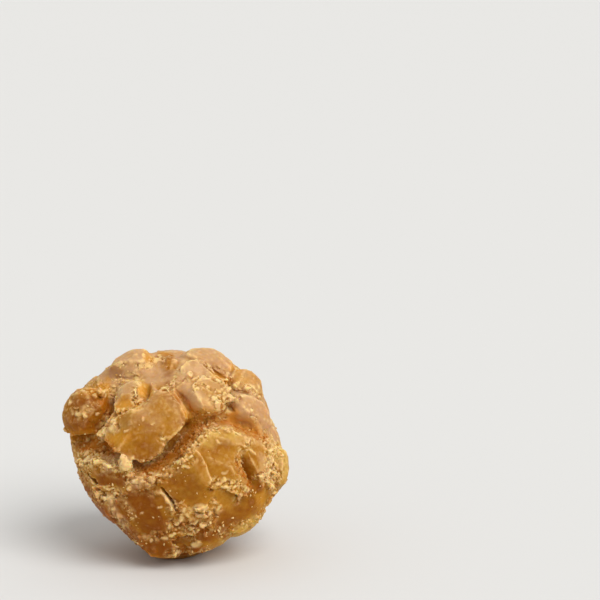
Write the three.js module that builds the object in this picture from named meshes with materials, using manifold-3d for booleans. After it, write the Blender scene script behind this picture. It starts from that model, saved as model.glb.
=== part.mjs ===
// A hand-pressed lump of jaggery, modelled as one solid.
//
// Warm, half-set jaggery is squeezed into a ball by hand. It sets hard and breaks like fudge, so
// the lump has smooth pressed lobes round its outside, and on the broken side flat plates with
// ragged outlines that stand a little proud of each other, parted by seams and by deep cracks.
//
// Frame, in mm: +Z up, +X right and -Y front. The origin is at the middle of the foot, on the
// surface that the lump stands on. The lump's own frame has +X across, +Y up and +Z out of the
// broken side, from the lump's middle. Places on the broken side are given in it as seen square
// on, as [across, up].

import * as THREE from "three";
import { mergeVertices } from "three/addons/utils/BufferGeometryUtils.js";
import Module from "manifold-3d";

// ---- Driving dimensions ----

const width = 64; // over the whole lump, left to right
const height = 59; // as seen square on to the broken side
const depth = 52;
const frontTilt = 15; // degrees that the broken side looks up
const footHeight = 28.2; // the lump's middle above the flat foot
const seed = 11;

// The general form is an ellipsoid pressed flat in places, with the edges blended. toward: the way
// that a flat faces, in the lump's own frame, reach: how far it is from the lump's middle.
const ellipsoid = [width / 2 + 2.5, height / 2 + 2.5, depth / 2];
const crispness = 24; // how sharply the flats meet
const flats = [
  { toward: [0, 1, 0], reach: 29.8 }, // crown
  { toward: [0.38, 0.92, 0], reach: 29.8 },
  { toward: [0.7, 0.71, 0], reach: 31.4 }, // upper right
  { toward: [0.96, 0.28, 0], reach: 28.2 }, // right
  { toward: [0.99, -0.12, 0], reach: 33 },
  { toward: [0.8, -0.6, 0], reach: 29 }, // lower right
  { toward: [0.42, -0.91, 0], reach: 28 },
  { toward: [0, -1, 0], reach: 29.6 }, // toe
  { toward: [-0.74, -0.67, 0], reach: 26.2 }, // lower left
  { toward: [-0.97, -0.24, 0], reach: 29.4 }, // left
  { toward: [-0.8, 0.6, 0], reach: 32.6 },
  { toward: [-0.52, 0.85, 0], reach: 32.2 }, // upper left
  { toward: [-0.2, -0.5, 0.84], reach: 26 }, // lower front
  { toward: [0.45, -0.5, 0.74], reach: 27 },
  { toward: [-0.75, -0.1, 0.65], reach: 27.2 }, // left front
  { toward: [0.25, 0.6, 0.76], reach: 27.2 }, // upper front
  { toward: [-0.35, 0.6, 0.72], reach: 27.4 },
  { toward: [0.7, 0.2, 0.68], reach: 28.2 }, // right front
  { toward: [-0.3, 0.8, -0.5], reach: 26.8 }, // behind
  { toward: [0.5, 0.1, -0.86], reach: 24.4 },
  { toward: [-0.6, 0.1, -0.79], reach: 25 },
  { toward: [0, -0.6, -0.8], reach: 25.4 },
];
const bodyBelowSkin = 2.8; // the body of the lump lies this far under its lobes and plates

// Flat plates of the broken side. outline: its corners, proud: how far the face stands above the
// skin at its middle, lean: degrees that the face turns right and up. facets: further flats of a
// face, each from a place on it and leaning its own way.
const plates = {
  greatPlate: {
    outline: [
      [-20.9, 5.4], [-18.3, 10.6], [-13, 11.6], [-9.4, 12], [-8.2, 15], [-4.2, 17.4], [-0.9, 16.8],
      [3.4, 11.6], [4.2, 9.2], [3.4, 6.8], [-1.6, 2.4], [-4, -0.2], [-7.3, -2.3], [-12, -0.2], [-20.3, 4],
    ],
    proud: 2.6,
    lean: [1, 3],
    facets: [
      { from: [-12, 7], lean: [-24, 6] },
      { from: [-5, 5], lean: [-4, -14] },
      { from: [1.6, 10], lean: [16, 0] },
      { from: [-7, 14.4], lean: [-12, 16] },
    ],
  },
  rightPlate: {
    outline: [
      [3, -0.4], [6.2, 3.8], [7.6, 5.6], [12.2, 6.6], [16.6, 5.9], [19.1, 3.2], [16.6, -1.2],
      [19.8, -8.1], [19.2, -11.3], [12.7, -8.6], [4.9, -7.6],
    ],
    proud: 1.5,
    lean: [-1, 3],
    facets: [
      { from: [10, -3], lean: [-4, -10] },
      { from: [13, 3.4], lean: [6, 18] },
      { from: [16, -3], lean: [14, -2] },
    ],
  },
  middleWedge: {
    outline: [
      [-1.2, -2.6], [3.2, 0.6], [6.5, -3.8], [7.4, -8], [4.4, -11.6], [0.1, -14.4], [-3.8, -10.1],
      [-5, -6.4],
    ],
    proud: 1.1,
    lean: [-12, -6],
    facets: [{ from: [2, -8.5], lean: [-8, -16] }],
  },
  rightChip: {
    outline: [
      [18.2, 0.6], [20.6, 5], [23.8, 3.5], [26.7, 1.1], [25.9, -3.3], [24.5, -6.4], [20.9, -7.4],
      [19.5, -4.3],
    ],
    proud: 1.4,
    lean: [-5, 0],
    facets: [{ from: [24, -2.5], lean: [12, -12] }],
  },
  bandLeft: {
    outline: [[-1.2, 17.2], [0.4, 19.3], [4.5, 20.4], [7, 17.5], [5, 12.6], [2.6, 13.6]],
    proud: 1.3,
    lean: [-4, 4],
  },
  bandRight: {
    outline: [
      [4.8, 17.6], [7.6, 19.6], [11.6, 18.4], [13.4, 15.6], [13.4, 11.6], [10.6, 9.9], [7.4, 9.7],
      [5.2, 12.2], [4.2, 14.6],
    ],
    proud: 2.4,
    lean: [3, 4],
    facets: [
      { from: [8, 12.4], lean: [0, -22] },
      { from: [11.6, 15], lean: [18, 0] },
    ],
  },
  bandTop: {
    outline: [[1.6, 19.2], [1.8, 21], [8, 21.6], [13.4, 20.6], [13.2, 18.4], [7, 18.4]],
    proud: 0.8,
    lean: [0, 6],
  },
  upperKnob: {
    outline: [[1, 21.6], [3, 24.4], [6.2, 24.6], [9.3, 22.3], [9, 19.8], [5.1, 19.2], [1.8, 19.2]],
    proud: 1.5,
    lean: [2, -6],
  },
  leftKnob: {
    outline: [
      [-17.1, 13], [-17.3, 17], [-15.7, 19.3], [-12.3, 20.9], [-8.7, 20.2], [-7, 17.6], [-9.5, 12.5],
      [-13.4, 11],
    ],
    proud: 1.9,
    lean: [-4, 6],
    facets: [{ from: [-13, 15], lean: [-8, -22] }],
  },
  shelf: {
    outline: [
      [-28.6, -2.4], [-26, -0.2], [-21.2, -1.6], [-17, -3], [-11.5, -4.3], [-9, -6.4], [-10.5, -9.4],
      [-18.3, -9.8], [-26, -9.1],
    ],
    proud: 1.4,
    lean: [2, -6],
    facets: [
      { from: [-24, -5.4], lean: [-10, -8] },
      { from: [-16, -4.6], lean: [4, 12] },
    ],
  },
  shelfFoot: {
    outline: [[-10.5, -5.4], [-5.4, -5.6], [-3.4, -9.6], [-6.4, -12.6], [-11, -11]],
    proud: 0.4,
    lean: [2, -8],
  },
  clump: {
    outline: [[-22, -9.5], [-14, -9.8], [-11.6, -12], [-13.6, -16], [-18.5, -15.5]],
    proud: 1,
    lean: [-4, 0],
  },
  lowerPlate: {
    outline: [
      [-13.8, -12], [-8.6, -10.8], [-4.2, -12], [-0.4, -16.8], [0.6, -22], [-4, -23.4],
      [-10.5, -22.4], [-14.6, -18.3],
    ],
    proud: 0.8,
    lean: [-4, 4],
    facets: [
      { from: [-7, -17.5], lean: [-6, -8] },
      { from: [-3, -18], lean: [8, -2] },
    ],
  },
  crumbBed: {
    outline: [
      [-0.6, -15.4], [3, -12.4], [7.4, -12.6], [10.2, -15], [8.6, -20.4], [4, -22.6], [0.6, -20],
    ],
    proud: 0.2,
    lean: [4, 6],
    facets: [{ from: [4, -18], lean: [-4, -8] }],
  },
  lowerRightPlate: {
    outline: [
      [7.4, -14.6], [10.8, -10.4], [19.5, -10.6], [25, -8.1], [27.4, -11.5], [23.4, -17],
      [17, -21.4], [11, -23.4], [8.2, -19.7],
    ],
    proud: 1,
    lean: [-4, 2],
    facets: [
      { from: [14, -17], lean: [-6, -10] },
      { from: [21, -13.5], lean: [12, -4] },
    ],
  },
  toePlate: {
    outline: [[-9.6, -23], [-3.4, -24], [-2.6, -27], [-6.6, -26.6]],
    proud: 0.5,
    lean: [0, 0],
  },
};
const plateThickness = 8;
const plateReach = 2.8; // no corner of a plate stands further than this out of the skin
const plateSpread = 1.4; // a plate's back is this much larger all round than its face
const raggedStep = 2.6; // an outline is broken into steps of about this length
const ragged = 0.45; // and each new corner moved up to this far

// Smooth pressed lobes round the broken side. size: across and up, turn: degrees anticlockwise.
const lobes = {
  rightShoulder: { at: [20.8, 10.6], size: [18, 14], turn: -42, proud: 1.6 },
  rightBrow: { at: [19.8, 19], size: [13, 14], turn: -34, proud: 1.2 },
  crown: { at: [9.4, 26], size: [17, 12], turn: -16, proud: 1.1 },
  crownLeft: { at: [-2.6, 25.4], size: [11, 10], turn: 4, proud: 0.2 },
  leftBrow: { at: [-13, 24.6], size: [17, 12], turn: 26, proud: 2.4 },
  leftLobe: { at: [-26.4, 12], size: [16, 16], turn: 30, proud: 3.2 },
  leftRim: { at: [-23.6, -14], size: [11, 22], turn: 40, proud: 0 },
  rightRim: { at: [29.4, -4.2], size: [10, 16], turn: -8, proud: 0.9 },
  rightFoot: { at: [26, -14], size: [13, 13], turn: 40, proud: -0.6 },
  toe: { at: [-5.4, -27.4], size: [15, 10], turn: -18, proud: 0.2 },
  toeRight: { at: [9.6, -26.2], size: [18, 11], turn: 18, proud: 0 },
};
const lobeThickness = 15;
const lobeCrispness = 7;
const lobeSides = [6, 8];
const lobeTaper = [0.15, 0.35]; // how much its sides lean in towards its face, as run over rise
const lobeUneven = [0.94, 1.08]; // each side's reach, as a share of the even one
const lobeTurn = 0.15; // and the share of a side's angle that it may be turned by

// Angular chips and crumbs stuck to the broken side, in rows. through: places on the row, proud:
// the height of what they are stuck to, loose: how far they lie off the row.
const rubble = {
  shelfRim: { through: [[-28.4, -1.4], [-20, -2.4], [-11.4, -5]], proud: 1.4, loose: 0.8, count: 7 },
  crackBank: { through: [[-9, -6.2], [-2, -4.6], [5, 5]], proud: 0.4, loose: 1.6, count: 8 },
  recess: { through: [[-27, 4], [-20, 3.6], [-15, 0.6]], proud: -4.6, loose: 1.4, count: 5 },
  leftLobe: { through: [[-29, 9], [-25, 15], [-20.5, 17]], proud: 1.4, loose: 2.6, count: 7 },
  knob: { through: [[-15, 19], [-9, 18.4], [-7, 14.6]], proud: 1.2, loose: 1.4, count: 4 },
  brow: { through: [[-12, 25], [-6, 26.6], [-3, 23]], proud: 0.4, loose: 1.8, count: 4 },
  bandRim: { through: [[3, 20], [12, 18.6], [13.6, 11.6]], proud: 1.8, loose: 1, count: 7 },
  shoulderRim: { through: [[14.6, 17.8], [18, 16.6], [15.4, 12]], proud: 1.4, loose: 1, count: 3 },
  plateRim: { through: [[7, 4.8], [13, 6], [18.4, 3.4], [19, -2]], proud: 1, loose: 0.7, count: 4 },
  chipRim: { through: [[25.6, 1.6], [25.4, -5], [22, -9]], proud: 1, loose: 0.9, count: 5 },
  crumbBed: { through: [[2, -15], [6, -17], [5, -21]], proud: 0.4, loose: 2.6, count: 7 },
  clump: { through: [[-20.6, -9.6], [-17, -12.4], [-14.4, -17]], proud: 0.8, loose: 1.2, count: 6 },
  rim: { through: [[12, -8.4], [17, -9.4], [20, -11]], proud: 0.8, loose: 1.2, count: 3 },
  toe: { through: [[-10.6, -23.4], [-4, -25.4], [4, -25.6]], proud: 0.2, loose: 1.2, count: 4 },
};
const crumbLength = [1.9, 3.6];
const crumbFlatness = [0.45, 0.9]; // a crumb's other two dimensions, as shares of its length
const crumbUneven = 0.22; // its corners move in and out by this share
const crumbLean = 30; // degrees

// The two largest chips. size: across, up and thick.
const flakes = {
  standing: { at: [-13.4, -2.2], size: [4.6, 4.4, 1.8], turn: 24, lean: [12, -18], proud: 1.9 },
  lying: { at: [6.4, -14.4], size: [4.4, 2.6, 1.4], turn: 8, lean: [4, 10], proud: 0.9 },
};

// Deep cracks and thin seams of the broken side. path: places with the crack's width at each,
// depth: below the skin, under: how far the floor runs in under the left bank of the path.
const cracks = {
  great: {
    path: [
      [-32, 2.6, 4], [-27, 2.4, 6.4], [-21, 1.6, 6], [-16, -0.8, 4.4], [-12, -3, 4], [-8, -3.9, 4.4],
      [-3, -1.2, 5.4], [1.6, 3.4, 5.2], [5.4, 7.4, 4.6], [9.5, 8.4, 3.8], [14.5, 8.6, 4], [18.5, 7, 3],
      [22, 4.6, 2.2],
    ],
    depth: 7,
    under: 2.6,
  },
  leftCleft: {
    path: [[-16, 20.6, 2], [-18.4, 16.4, 3], [-19.2, 12.4, 4.4], [-22.6, 7, 3.6], [-24, 2.6, 4]],
    depth: 6.4,
    under: -1.4,
  },
  slit: { path: [[16.6, 0.2, 1], [17.8, -3.2, 1.7], [19.6, -6.6, 1.9], [20.6, -9.8, 1]], depth: 4 },
  rightSeam: { path: [[24.4, 4.4, 1], [27.2, 0.4, 1.6], [27, -4, 1.6], [26, -8.4, 1]], depth: 2.6 },
  upperSeam: {
    path: [[9, 24.6, 1], [12, 21.6, 1.8], [14.6, 18.4, 2], [14.4, 13.6, 2.2], [14.2, 9.4, 2]],
    depth: 4,
  },
  bandSeam: { path: [[-0.6, 18.2, 1], [2, 14.6, 1.6], [4.4, 11, 2.2], [6, 8.6, 2.4]], depth: 4.4 },
  knobSeam: { path: [[-9.4, 20.4, 1.6], [-7.6, 17, 1.8], [-9.2, 12.6, 2]], depth: 3 },
  browSeam: { path: [[-22, 21.4, 2.4], [-15.4, 21.6, 1.8], [-9, 21.6, 1.4], [-3, 21, 1.4]], depth: 3 },
  crownSeam: { path: [[-5, 30, 2], [-5.6, 26, 1.8], [-2.6, 22, 1.4]], depth: 2.6 },
  lineSeam: { path: [[-4.6, -8.8, 0.8], [-2.4, -12, 1], [-0.2, -15.2, 0.8]], depth: 2.4 },
  shelfSeam: { path: [[-23.6, -4.8, 0.8], [-21, -8, 1.2], [-18.6, -11, 1]], depth: 3 },
};
const crackTop = 5; // a crack is cut this far above the skin, through whatever stands proud
const crackFloor = 0.3; // the floor's share of a crack's width
const crackEnd = 0.2; // the share of its depth that is left at its ends
const crackUneven = [0.85, 1.15]; // shares of the width stated
const crackSteps = 2; // sections for each place of its path

// Round the rest of the lump the body itself swells into lobes. The broken side's own pieces hide
// those under them.
const swellings = {
  count: 42, // spread over the whole ball
  reach: [8.5, 11.5], // from a lobe's middle to where it meets the body
  rise: [1.8, 3.8],
  lean: 0.12, // steepest tilt of a lobe, as rise over run
  fullness: 3, // how flat a lobe's top is: 2 is a plain dome
  foot: { reach: 15, rise: 3.6 }, // the one that the lump stands on
};

// Cracks round the back, each from a direction in the lump's own frame.
const backCracks = {
  toward: [
    [0.8, 0.2, -0.55], [0.1, 0.75, -0.65], [-0.7, 0.35, -0.6], [-0.9, -0.3, -0.3], [0.35, -0.1, -0.9],
  ],
  reach: 10, // half of a crack's length
  bend: 2.4,
  width: [1.8, 3.2],
  depth: [2.6, 4.6],
};

// Triangles along each edge of the icosahedron that a ball is made from, less one.
const detail = { body: 12, lobe: 2, envelope: 7 };

const outlineShare = 0.985; // a place past the outline comes back to this share of the way out
const smallStep = 0.01; // for finding a slope
const closeEnough = 1e-5; // for finding where the skin is

// ---- Helpers ----

const FRONT = new THREE.Vector3(0, 0, 1); // out of the broken side
const GOLDEN_ANGLE = Math.PI * (3 - Math.sqrt(5));
const upright = THREE.MathUtils.degToRad(90 - frontTilt); // turns the lump's own +Z to the front

// Seeded random numbers.
let state = seed;
function between([low, high]) {
  state = (state * 1664525 + 1013904223) % 4294967296;
  return low + ((high - low) * state) / 4294967296;
}
const either = (most) => between([-most, most]);

// A direction of a set spread evenly by the golden angle, at z from the front to the back.
function spread(i, z) {
  const ring = Math.sqrt(1 - z * z);
  return new THREE.Vector3(ring * Math.cos(i * GOLDEN_ANGLE), ring * Math.sin(i * GOLDEN_ANGLE), z);
}

const planes = flats.map(({ toward, reach }) => {
  return { normal: new THREE.Vector3(...toward).normalize(), reach };
});
const halfSize = new THREE.Vector3(...ellipsoid);

// The general form: 1 on the skin and less inside it.
function formAt(at) {
  const sum = planes.reduce(
    (total, { normal, reach }) => total + Math.max(0, at.dot(normal) / reach) ** crispness,
    at.clone().divide(halfSize).length() ** crispness,
  );
  return sum ** (1 / crispness);
}

// Where the skin is in a direction from the lump's middle, and which way it faces there.
function onSkinToward(direction) {
  const point = direction.clone().divideScalar(formAt(direction));
  const slope = [0, 1, 2].map((axis) => {
    const ahead = point.clone();
    ahead.setComponent(axis, point.getComponent(axis) + smallStep);
    return formAt(ahead) - 1;
  });
  return { point, normal: new THREE.Vector3(...slope).normalize() };
}

// The same for a place seen square on. One past the lump's outline comes back to the outline.
function onSkin([across, up]) {
  const at = new THREE.Vector3(across, up, 0);
  at.divideScalar(Math.max(1, formAt(at) / outlineShare));
  let [near, far] = [0, halfSize.z];
  while (far - near > closeEnough) {
    at.z = (near + far) / 2;
    if (formAt(at) < 1) near = at.z;
    else far = at.z;
  }
  return onSkinToward(at);
}

// An empty object on the skin whose +Z is the way that the skin faces there, turned and leant.
function place({ point, normal }, { turn = 0, lean = [0, 0], proud = 0 }) {
  const holder = new THREE.Object3D();
  const [right, upward] = lean.map(THREE.MathUtils.degToRad);
  const facing = new THREE.Quaternion().setFromUnitVectors(FRONT, normal);
  const leaning = new THREE.Quaternion().setFromEuler(new THREE.Euler(-upward, right, 0));
  const turned = new THREE.Quaternion().setFromAxisAngle(FRONT, THREE.MathUtils.degToRad(turn));
  holder.quaternion.copy(facing).multiply(leaning).multiply(turned);
  holder.position.copy(point).addScaledVector(normal, proud);
  holder.updateMatrixWorld(true);
  return holder;
}

// A closed surface round the origin, as far out in each direction as reachOf says.
function ballGeometry(reachOf, level) {
  const geometry = new THREE.IcosahedronGeometry(1, level);
  const position = geometry.getAttribute("position");
  const direction = new THREE.Vector3();
  for (let i = 0; i < position.count; i++) {
    direction.fromBufferAttribute(position, i).normalize();
    direction.multiplyScalar(reachOf(direction));
    position.setXYZ(i, direction.x, direction.y, direction.z);
  }
  return geometry;
}

// ---- Joining ----

const wasm = await Module();
wasm.setup();

// Takes a geometry in the lump's own frame, stands it on the foot and makes a solid of it.
function solidOf(geometry) {
  const bare = new THREE.BufferGeometry();
  bare.setAttribute("position", geometry.getAttribute("position").clone());
  bare.setIndex(geometry.index);
  bare.rotateX(upright).translate(0, 0, footHeight);
  const merged = mergeVertices(bare, 1e-4);
  return new wasm.Manifold(
    new wasm.Mesh({
      numProp: 3,
      vertProperties: merged.getAttribute("position").array,
      triVerts: new Uint32Array(merged.index.array),
    }),
  );
}

function geometryOf(solid) {
  const { vertProperties, triVerts } = solid.getMesh();
  const geometry = new THREE.BufferGeometry();
  geometry.setAttribute("position", new THREE.BufferAttribute(vertProperties, 3));
  geometry.setIndex(new THREE.BufferAttribute(triVerts, 1));
  geometry.computeVertexNormals();
  return geometry;
}

// ---- Pieces of the lump ----

function bodySolid() {
  const down = new THREE.Vector3(0, 0, -1).applyAxisAngle(new THREE.Vector3(1, 0, 0), -upright);
  const all = [{ toward: down, tilt: new THREE.Vector3(), ...swellings.foot }];
  for (let i = 0; i < swellings.count; i++) {
    const toward = spread(i, 1 - (2 * i + 1) / swellings.count);
    const tilt = new THREE.Vector3(either(swellings.lean), either(swellings.lean), either(swellings.lean));
    all.push({ toward, tilt, reach: between(swellings.reach), rise: between(swellings.rise) });
  }
  const reachOf = (direction) => {
    const skin = 1 / formAt(direction);
    const swell = all.map(({ toward, tilt, reach, rise }) => {
      const away = direction.clone().sub(toward).multiplyScalar(skin);
      return rise * (1 - (away.length() / reach) ** swellings.fullness) + away.dot(tilt);
    });
    return skin - bodyBelowSkin + Math.max(0, ...swell);
  };
  return solidOf(ballGeometry(reachOf, detail.body));
}

const plateEnvelope = solidOf(
  ballGeometry((direction) => 1 / formAt(direction) + plateReach, detail.envelope),
);

// Breaks a drawn outline into short steps and moves their corners about.
function raggedOutline(outline) {
  return outline.flatMap(([x, y], i) => {
    const [nextX, nextY] = outline[(i + 1) % outline.length];
    const steps = Math.max(1, Math.round(Math.hypot(nextX - x, nextY - y) / raggedStep));
    return Array.from({ length: steps }, (_, step) => [
      x + ((nextX - x) * step) / steps + either(ragged),
      y + ((nextY - y) * step) / steps + either(ragged),
    ]);
  });
}

// An outline is given square on, so each corner is dropped along +Z to the plate's face. Its sides
// spread towards the back, boxes cut its face and further facets, and the envelope its corners.
function plateSolid({ outline, proud, lean, facets = [] }) {
  const total = outline.reduce(([sumX, sumY], [x, y]) => [sumX + x, sumY + y], [0, 0]);
  const middle = total.map((sum) => sum / outline.length);
  const face = place(onSkin(middle), { lean, proud });
  const normal = FRONT.clone().applyQuaternion(face.quaternion);
  const corners = raggedOutline(outline).map(([x, y]) => {
    const rise = (x - face.position.x) * normal.x + (y - face.position.y) * normal.y;
    const local = face.worldToLocal(new THREE.Vector3(x, y, face.position.z - rise / normal.z));
    return new THREE.Vector2(local.x, local.y);
  });
  const slab = new THREE.ExtrudeGeometry(new THREE.Shape(corners), {
    depth: 0.01,
    bevelThickness: plateThickness,
    bevelSize: plateSpread,
    bevelSegments: 1,
  });
  return [{ from: middle, lean }, ...facets].reduce((plate, facet) => {
    const holder = place(onSkin(facet.from), { lean: facet.lean, proud });
    const waste = new THREE.BoxGeometry(width, width, width).translate(0, 0, width / 2);
    return plate.subtract(solidOf(waste.applyMatrix4(holder.matrixWorld)));
  }, solidOf(slab.applyMatrix4(face.matrixWorld)).intersect(plateEnvelope));
}

// A lobe is a pebble with a flat back, an uneven outline of a few sides and a low dome for a face.
function lobeSolid({ at, size: [across, up], turn, proud }) {
  const sides = [
    { normal: FRONT, reach: lobeThickness / 2 },
    { normal: FRONT.clone().negate(), reach: lobeThickness / 2 },
  ];
  const corners = Math.round(between(lobeSides));
  for (let i = 0; i < corners; i++) {
    const angle = (2 * Math.PI * (i + either(lobeTurn))) / corners;
    const normal = new THREE.Vector3(Math.cos(angle), Math.sin(angle), between(lobeTaper)).normalize();
    const reach = Math.hypot(Math.cos(angle) * across, Math.sin(angle) * up) / 2;
    sides.push({ normal, reach: reach * between(lobeUneven) });
  }
  const reachOf = (direction) => {
    const sum = sides.reduce(
      (total, { normal, reach }) => total + Math.max(0, direction.dot(normal) / reach) ** lobeCrispness,
      0,
    );
    return sum ** (-1 / lobeCrispness);
  };
  const pebble = ballGeometry(reachOf, detail.lobe).translate(0, 0, -lobeThickness / 2);
  return solidOf(pebble.applyMatrix4(place(onSkin(at), { turn, proud }).matrixWorld));
}

// A crumb is an icosahedron squashed and with its corners moved about.
function crumbSolid(at, size, laid) {
  const plain = new THREE.IcosahedronGeometry(0.5).deleteAttribute("normal").deleteAttribute("uv");
  const crumb = mergeVertices(plain);
  const position = crumb.getAttribute("position");
  for (let i = 0; i < position.count; i++) {
    const corner = new THREE.Vector3().fromBufferAttribute(position, i);
    corner.multiplyScalar(1 + either(crumbUneven));
    position.setXYZ(i, corner.x, corner.y, corner.z);
  }
  return solidOf(crumb.scale(...size).applyMatrix4(place(onSkin(at), laid).matrixWorld));
}

function rubbleSolids({ through, proud, loose, count }) {
  const row = new THREE.SplineCurve(through.map((at) => new THREE.Vector2(...at)));
  return Array.from({ length: count }, (_, i) => {
    const at = row.getPoint((i + 0.5) / count);
    const length = between(crumbLength);
    return crumbSolid(
      [at.x + either(loose), at.y + either(loose)],
      [length, length * between(crumbFlatness), length * between(crumbFlatness)],
      { turn: either(180), lean: [either(crumbLean), either(crumbLean)], proud },
    );
  });
}

// A crack is a closed wedge that follows the skin: wide open at the top, narrow at its floor,
// and fading out at both ends.
function crackSolid({ places, widths, deepest, under = 0 }) {
  const steps = crackSteps * (places.length - 1);
  const curve = new THREE.CatmullRomCurve3(places.map(({ point }) => point));
  const bearing = new THREE.CatmullRomCurve3(places.map(({ normal }) => normal));
  const opening = new THREE.CatmullRomCurve3(widths.map((value) => new THREE.Vector3(value, 0, 0)));
  const vertices = [];
  for (let i = 0; i <= steps; i++) {
    const t = i / steps;
    const fade = crackEnd + (1 - crackEnd) * Math.sqrt(Math.sin(Math.PI * t));
    const point = curve.getPoint(t);
    const normal = bearing.getPoint(t).normalize();
    const side = curve.getTangent(t).cross(normal).normalize();
    const deep = deepest * fade;
    const open = (opening.getPoint(t).x * between(crackUneven)) / 2;
    const section = [
      [-open, crackTop],
      [open, crackTop],
      [open, 0],
      [open * crackFloor - under, -deep],
      [-open * crackFloor - under, -deep],
      [-open, 0],
    ];
    for (const [sideways, upward] of section) {
      vertices.push(point.clone().addScaledVector(side, sideways).addScaledVector(normal, upward));
    }
  }
  const corners = 6;
  const index = [];
  for (let i = 0; i < steps; i++) {
    for (let k = 0; k < corners; k++) {
      const [a, b] = [corners * i + k, corners * i + ((k + 1) % corners)];
      index.push(a, b, a + corners, b, b + corners, a + corners);
    }
  }
  const last = corners * steps;
  for (let k = 1; k < corners - 1; k++) {
    index.push(0, k + 1, k, last, last + k, last + k + 1);
  }
  const geometry = new THREE.BufferGeometry().setFromPoints(vertices);
  geometry.setIndex(index);
  return solidOf(geometry);
}

// Each of these runs both ways from its middle, with a bend in it.
function backCrackSolid(toward) {
  const out = new THREE.Vector3(...toward).setLength(depth / 2);
  const heading = new THREE.Vector3(either(1), either(1), either(1)).cross(out).normalize();
  const sideways = new THREE.Vector3().crossVectors(out, heading).normalize();
  const places = [-1, -0.5, 0, 0.5, 1].map((share) => {
    const along = out.clone().addScaledVector(heading, share * backCracks.reach);
    return onSkinToward(along.addScaledVector(sideways, either(backCracks.bend)));
  });
  const widths = places.map(() => between(backCracks.width));
  return crackSolid({ places, widths, deepest: between(backCracks.depth) });
}

function frontCrackSolid({ path, depth: deepest, under }) {
  return crackSolid({ places: path.map(onSkin), widths: path.map((step) => step[2]), deepest, under });
}

// Crumbs over cracks can seal a bubble in or hang loose. Only the body's own surface is kept: the
// largest set of triangles that share corners.
function ownSurface(geometry) {
  const index = geometry.index.array;
  const linked = Array.from({ length: geometry.getAttribute("position").count }, (_, corner) => corner);
  const rootOf = (corner) => {
    let root = corner;
    while (linked[root] !== root) root = linked[root];
    linked[corner] = root;
    return root;
  };
  for (let i = 0; i < index.length; i += 3) {
    linked[rootOf(index[i])] = rootOf(index[i + 1]);
    linked[rootOf(index[i + 1])] = rootOf(index[i + 2]);
  }
  const sets = new Map();
  for (let i = 0; i < index.length; i += 3) {
    const root = rootOf(index[i]);
    if (!sets.has(root)) sets.set(root, []);
    sets.get(root).push(index[i], index[i + 1], index[i + 2]);
  }
  const largest = [...sets.values()].sort((a, b) => b.length - a.length)[0];
  return geometry.setIndex(largest);
}

function blockGeometry() {
  const pieces = [
    bodySolid(),
    ...Object.values(lobes).map(lobeSolid),
    ...Object.values(plates).map(plateSolid),
  ];
  const cuts = [...Object.values(cracks).map(frontCrackSolid), ...backCracks.toward.map(backCrackSolid)];
  const crumbs = [
    ...Object.values(rubble).flatMap(rubbleSolids),
    ...Object.values(flakes).map(({ at, size, ...laid }) => crumbSolid(at, size, laid)),
  ];
  const joined = pieces.reduce((all, piece) => all.add(piece));
  const cracked = cuts.reduce((all, cut) => all.subtract(cut), joined);
  const crumbled = crumbs.reduce((all, crumb) => all.add(crumb), cracked);
  const table = new THREE.BoxGeometry(3 * width, 3 * width, width).translate(0, 0, -width / 2 - footHeight);
  const geometry = ownSurface(geometryOf(crumbled.subtract(solidOf(table.rotateX(-upright)))));
  geometry.computeBoundingBox();
  const middle = geometry.boundingBox.getCenter(new THREE.Vector3());
  return geometry.translate(-middle.x, -middle.y, 0);
}

const jaggery = new THREE.MeshStandardMaterial({ color: 0xb8863c, roughness: 0.6, metalness: 0 });
const block = new THREE.Mesh(blockGeometry(), jaggery);
block.name = "jaggery_block";

const part = new THREE.Group();
part.add(block);

export default part;
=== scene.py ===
import math
from functools import partial

import bmesh
import bpy
import numpy as np
from mathutils import Matrix, Vector
from mathutils.bvhtree import BVHTree


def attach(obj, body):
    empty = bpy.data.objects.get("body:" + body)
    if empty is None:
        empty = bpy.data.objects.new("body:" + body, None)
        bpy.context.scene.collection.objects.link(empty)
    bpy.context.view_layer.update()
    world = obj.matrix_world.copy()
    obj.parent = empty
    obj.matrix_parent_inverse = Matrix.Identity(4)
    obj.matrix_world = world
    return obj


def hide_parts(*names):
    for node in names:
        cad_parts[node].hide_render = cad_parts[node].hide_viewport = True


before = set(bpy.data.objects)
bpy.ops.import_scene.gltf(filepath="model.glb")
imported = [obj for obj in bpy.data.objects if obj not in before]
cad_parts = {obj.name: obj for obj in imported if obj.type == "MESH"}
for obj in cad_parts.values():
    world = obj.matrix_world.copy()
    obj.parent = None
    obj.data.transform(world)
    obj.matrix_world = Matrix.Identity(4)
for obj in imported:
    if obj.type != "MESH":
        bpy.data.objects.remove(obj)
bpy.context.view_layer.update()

# A hand-pressed lump of jaggery: set cane sugar, pressed smooth round the outside and broken open
# at the front into flat plates with ragged, crumbly rims.
# The dictionaries hold what a user would change, in millimetres; mm turns those into metres.

mm = 0.001
print("frame loaded")

# The broken side looks up a little. Places on it are given square on, in mm, as (across, up)
# from the lump's middle.
brokenSide = {"tilt": 15, "middleHeight": 28.2}
tilt = math.radians(brokenSide["tilt"])
lumpMiddle = Vector((0, 0, brokenSide["middleHeight"] * mm))
acrossWay = Vector((1, 0, 0))
upWay = Vector((0, math.sin(tilt), math.cos(tilt)))
outWay = Vector((0, -math.cos(tilt), math.sin(tilt)))


def placeSquareOn(across, up, out=0.0):
    return lumpMiddle + (acrossWay * across + upWay * up + outWay * out) * mm


def linearColour(hexCode):
    parts = [int(hexCode[i:i + 2], 16) / 255 for i in (1, 3, 5)]
    return [p / 12.92 if p <= 0.04045 else ((p + 0.055) / 1.055) ** 2.4 for p in parts] + [1.0]


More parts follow.
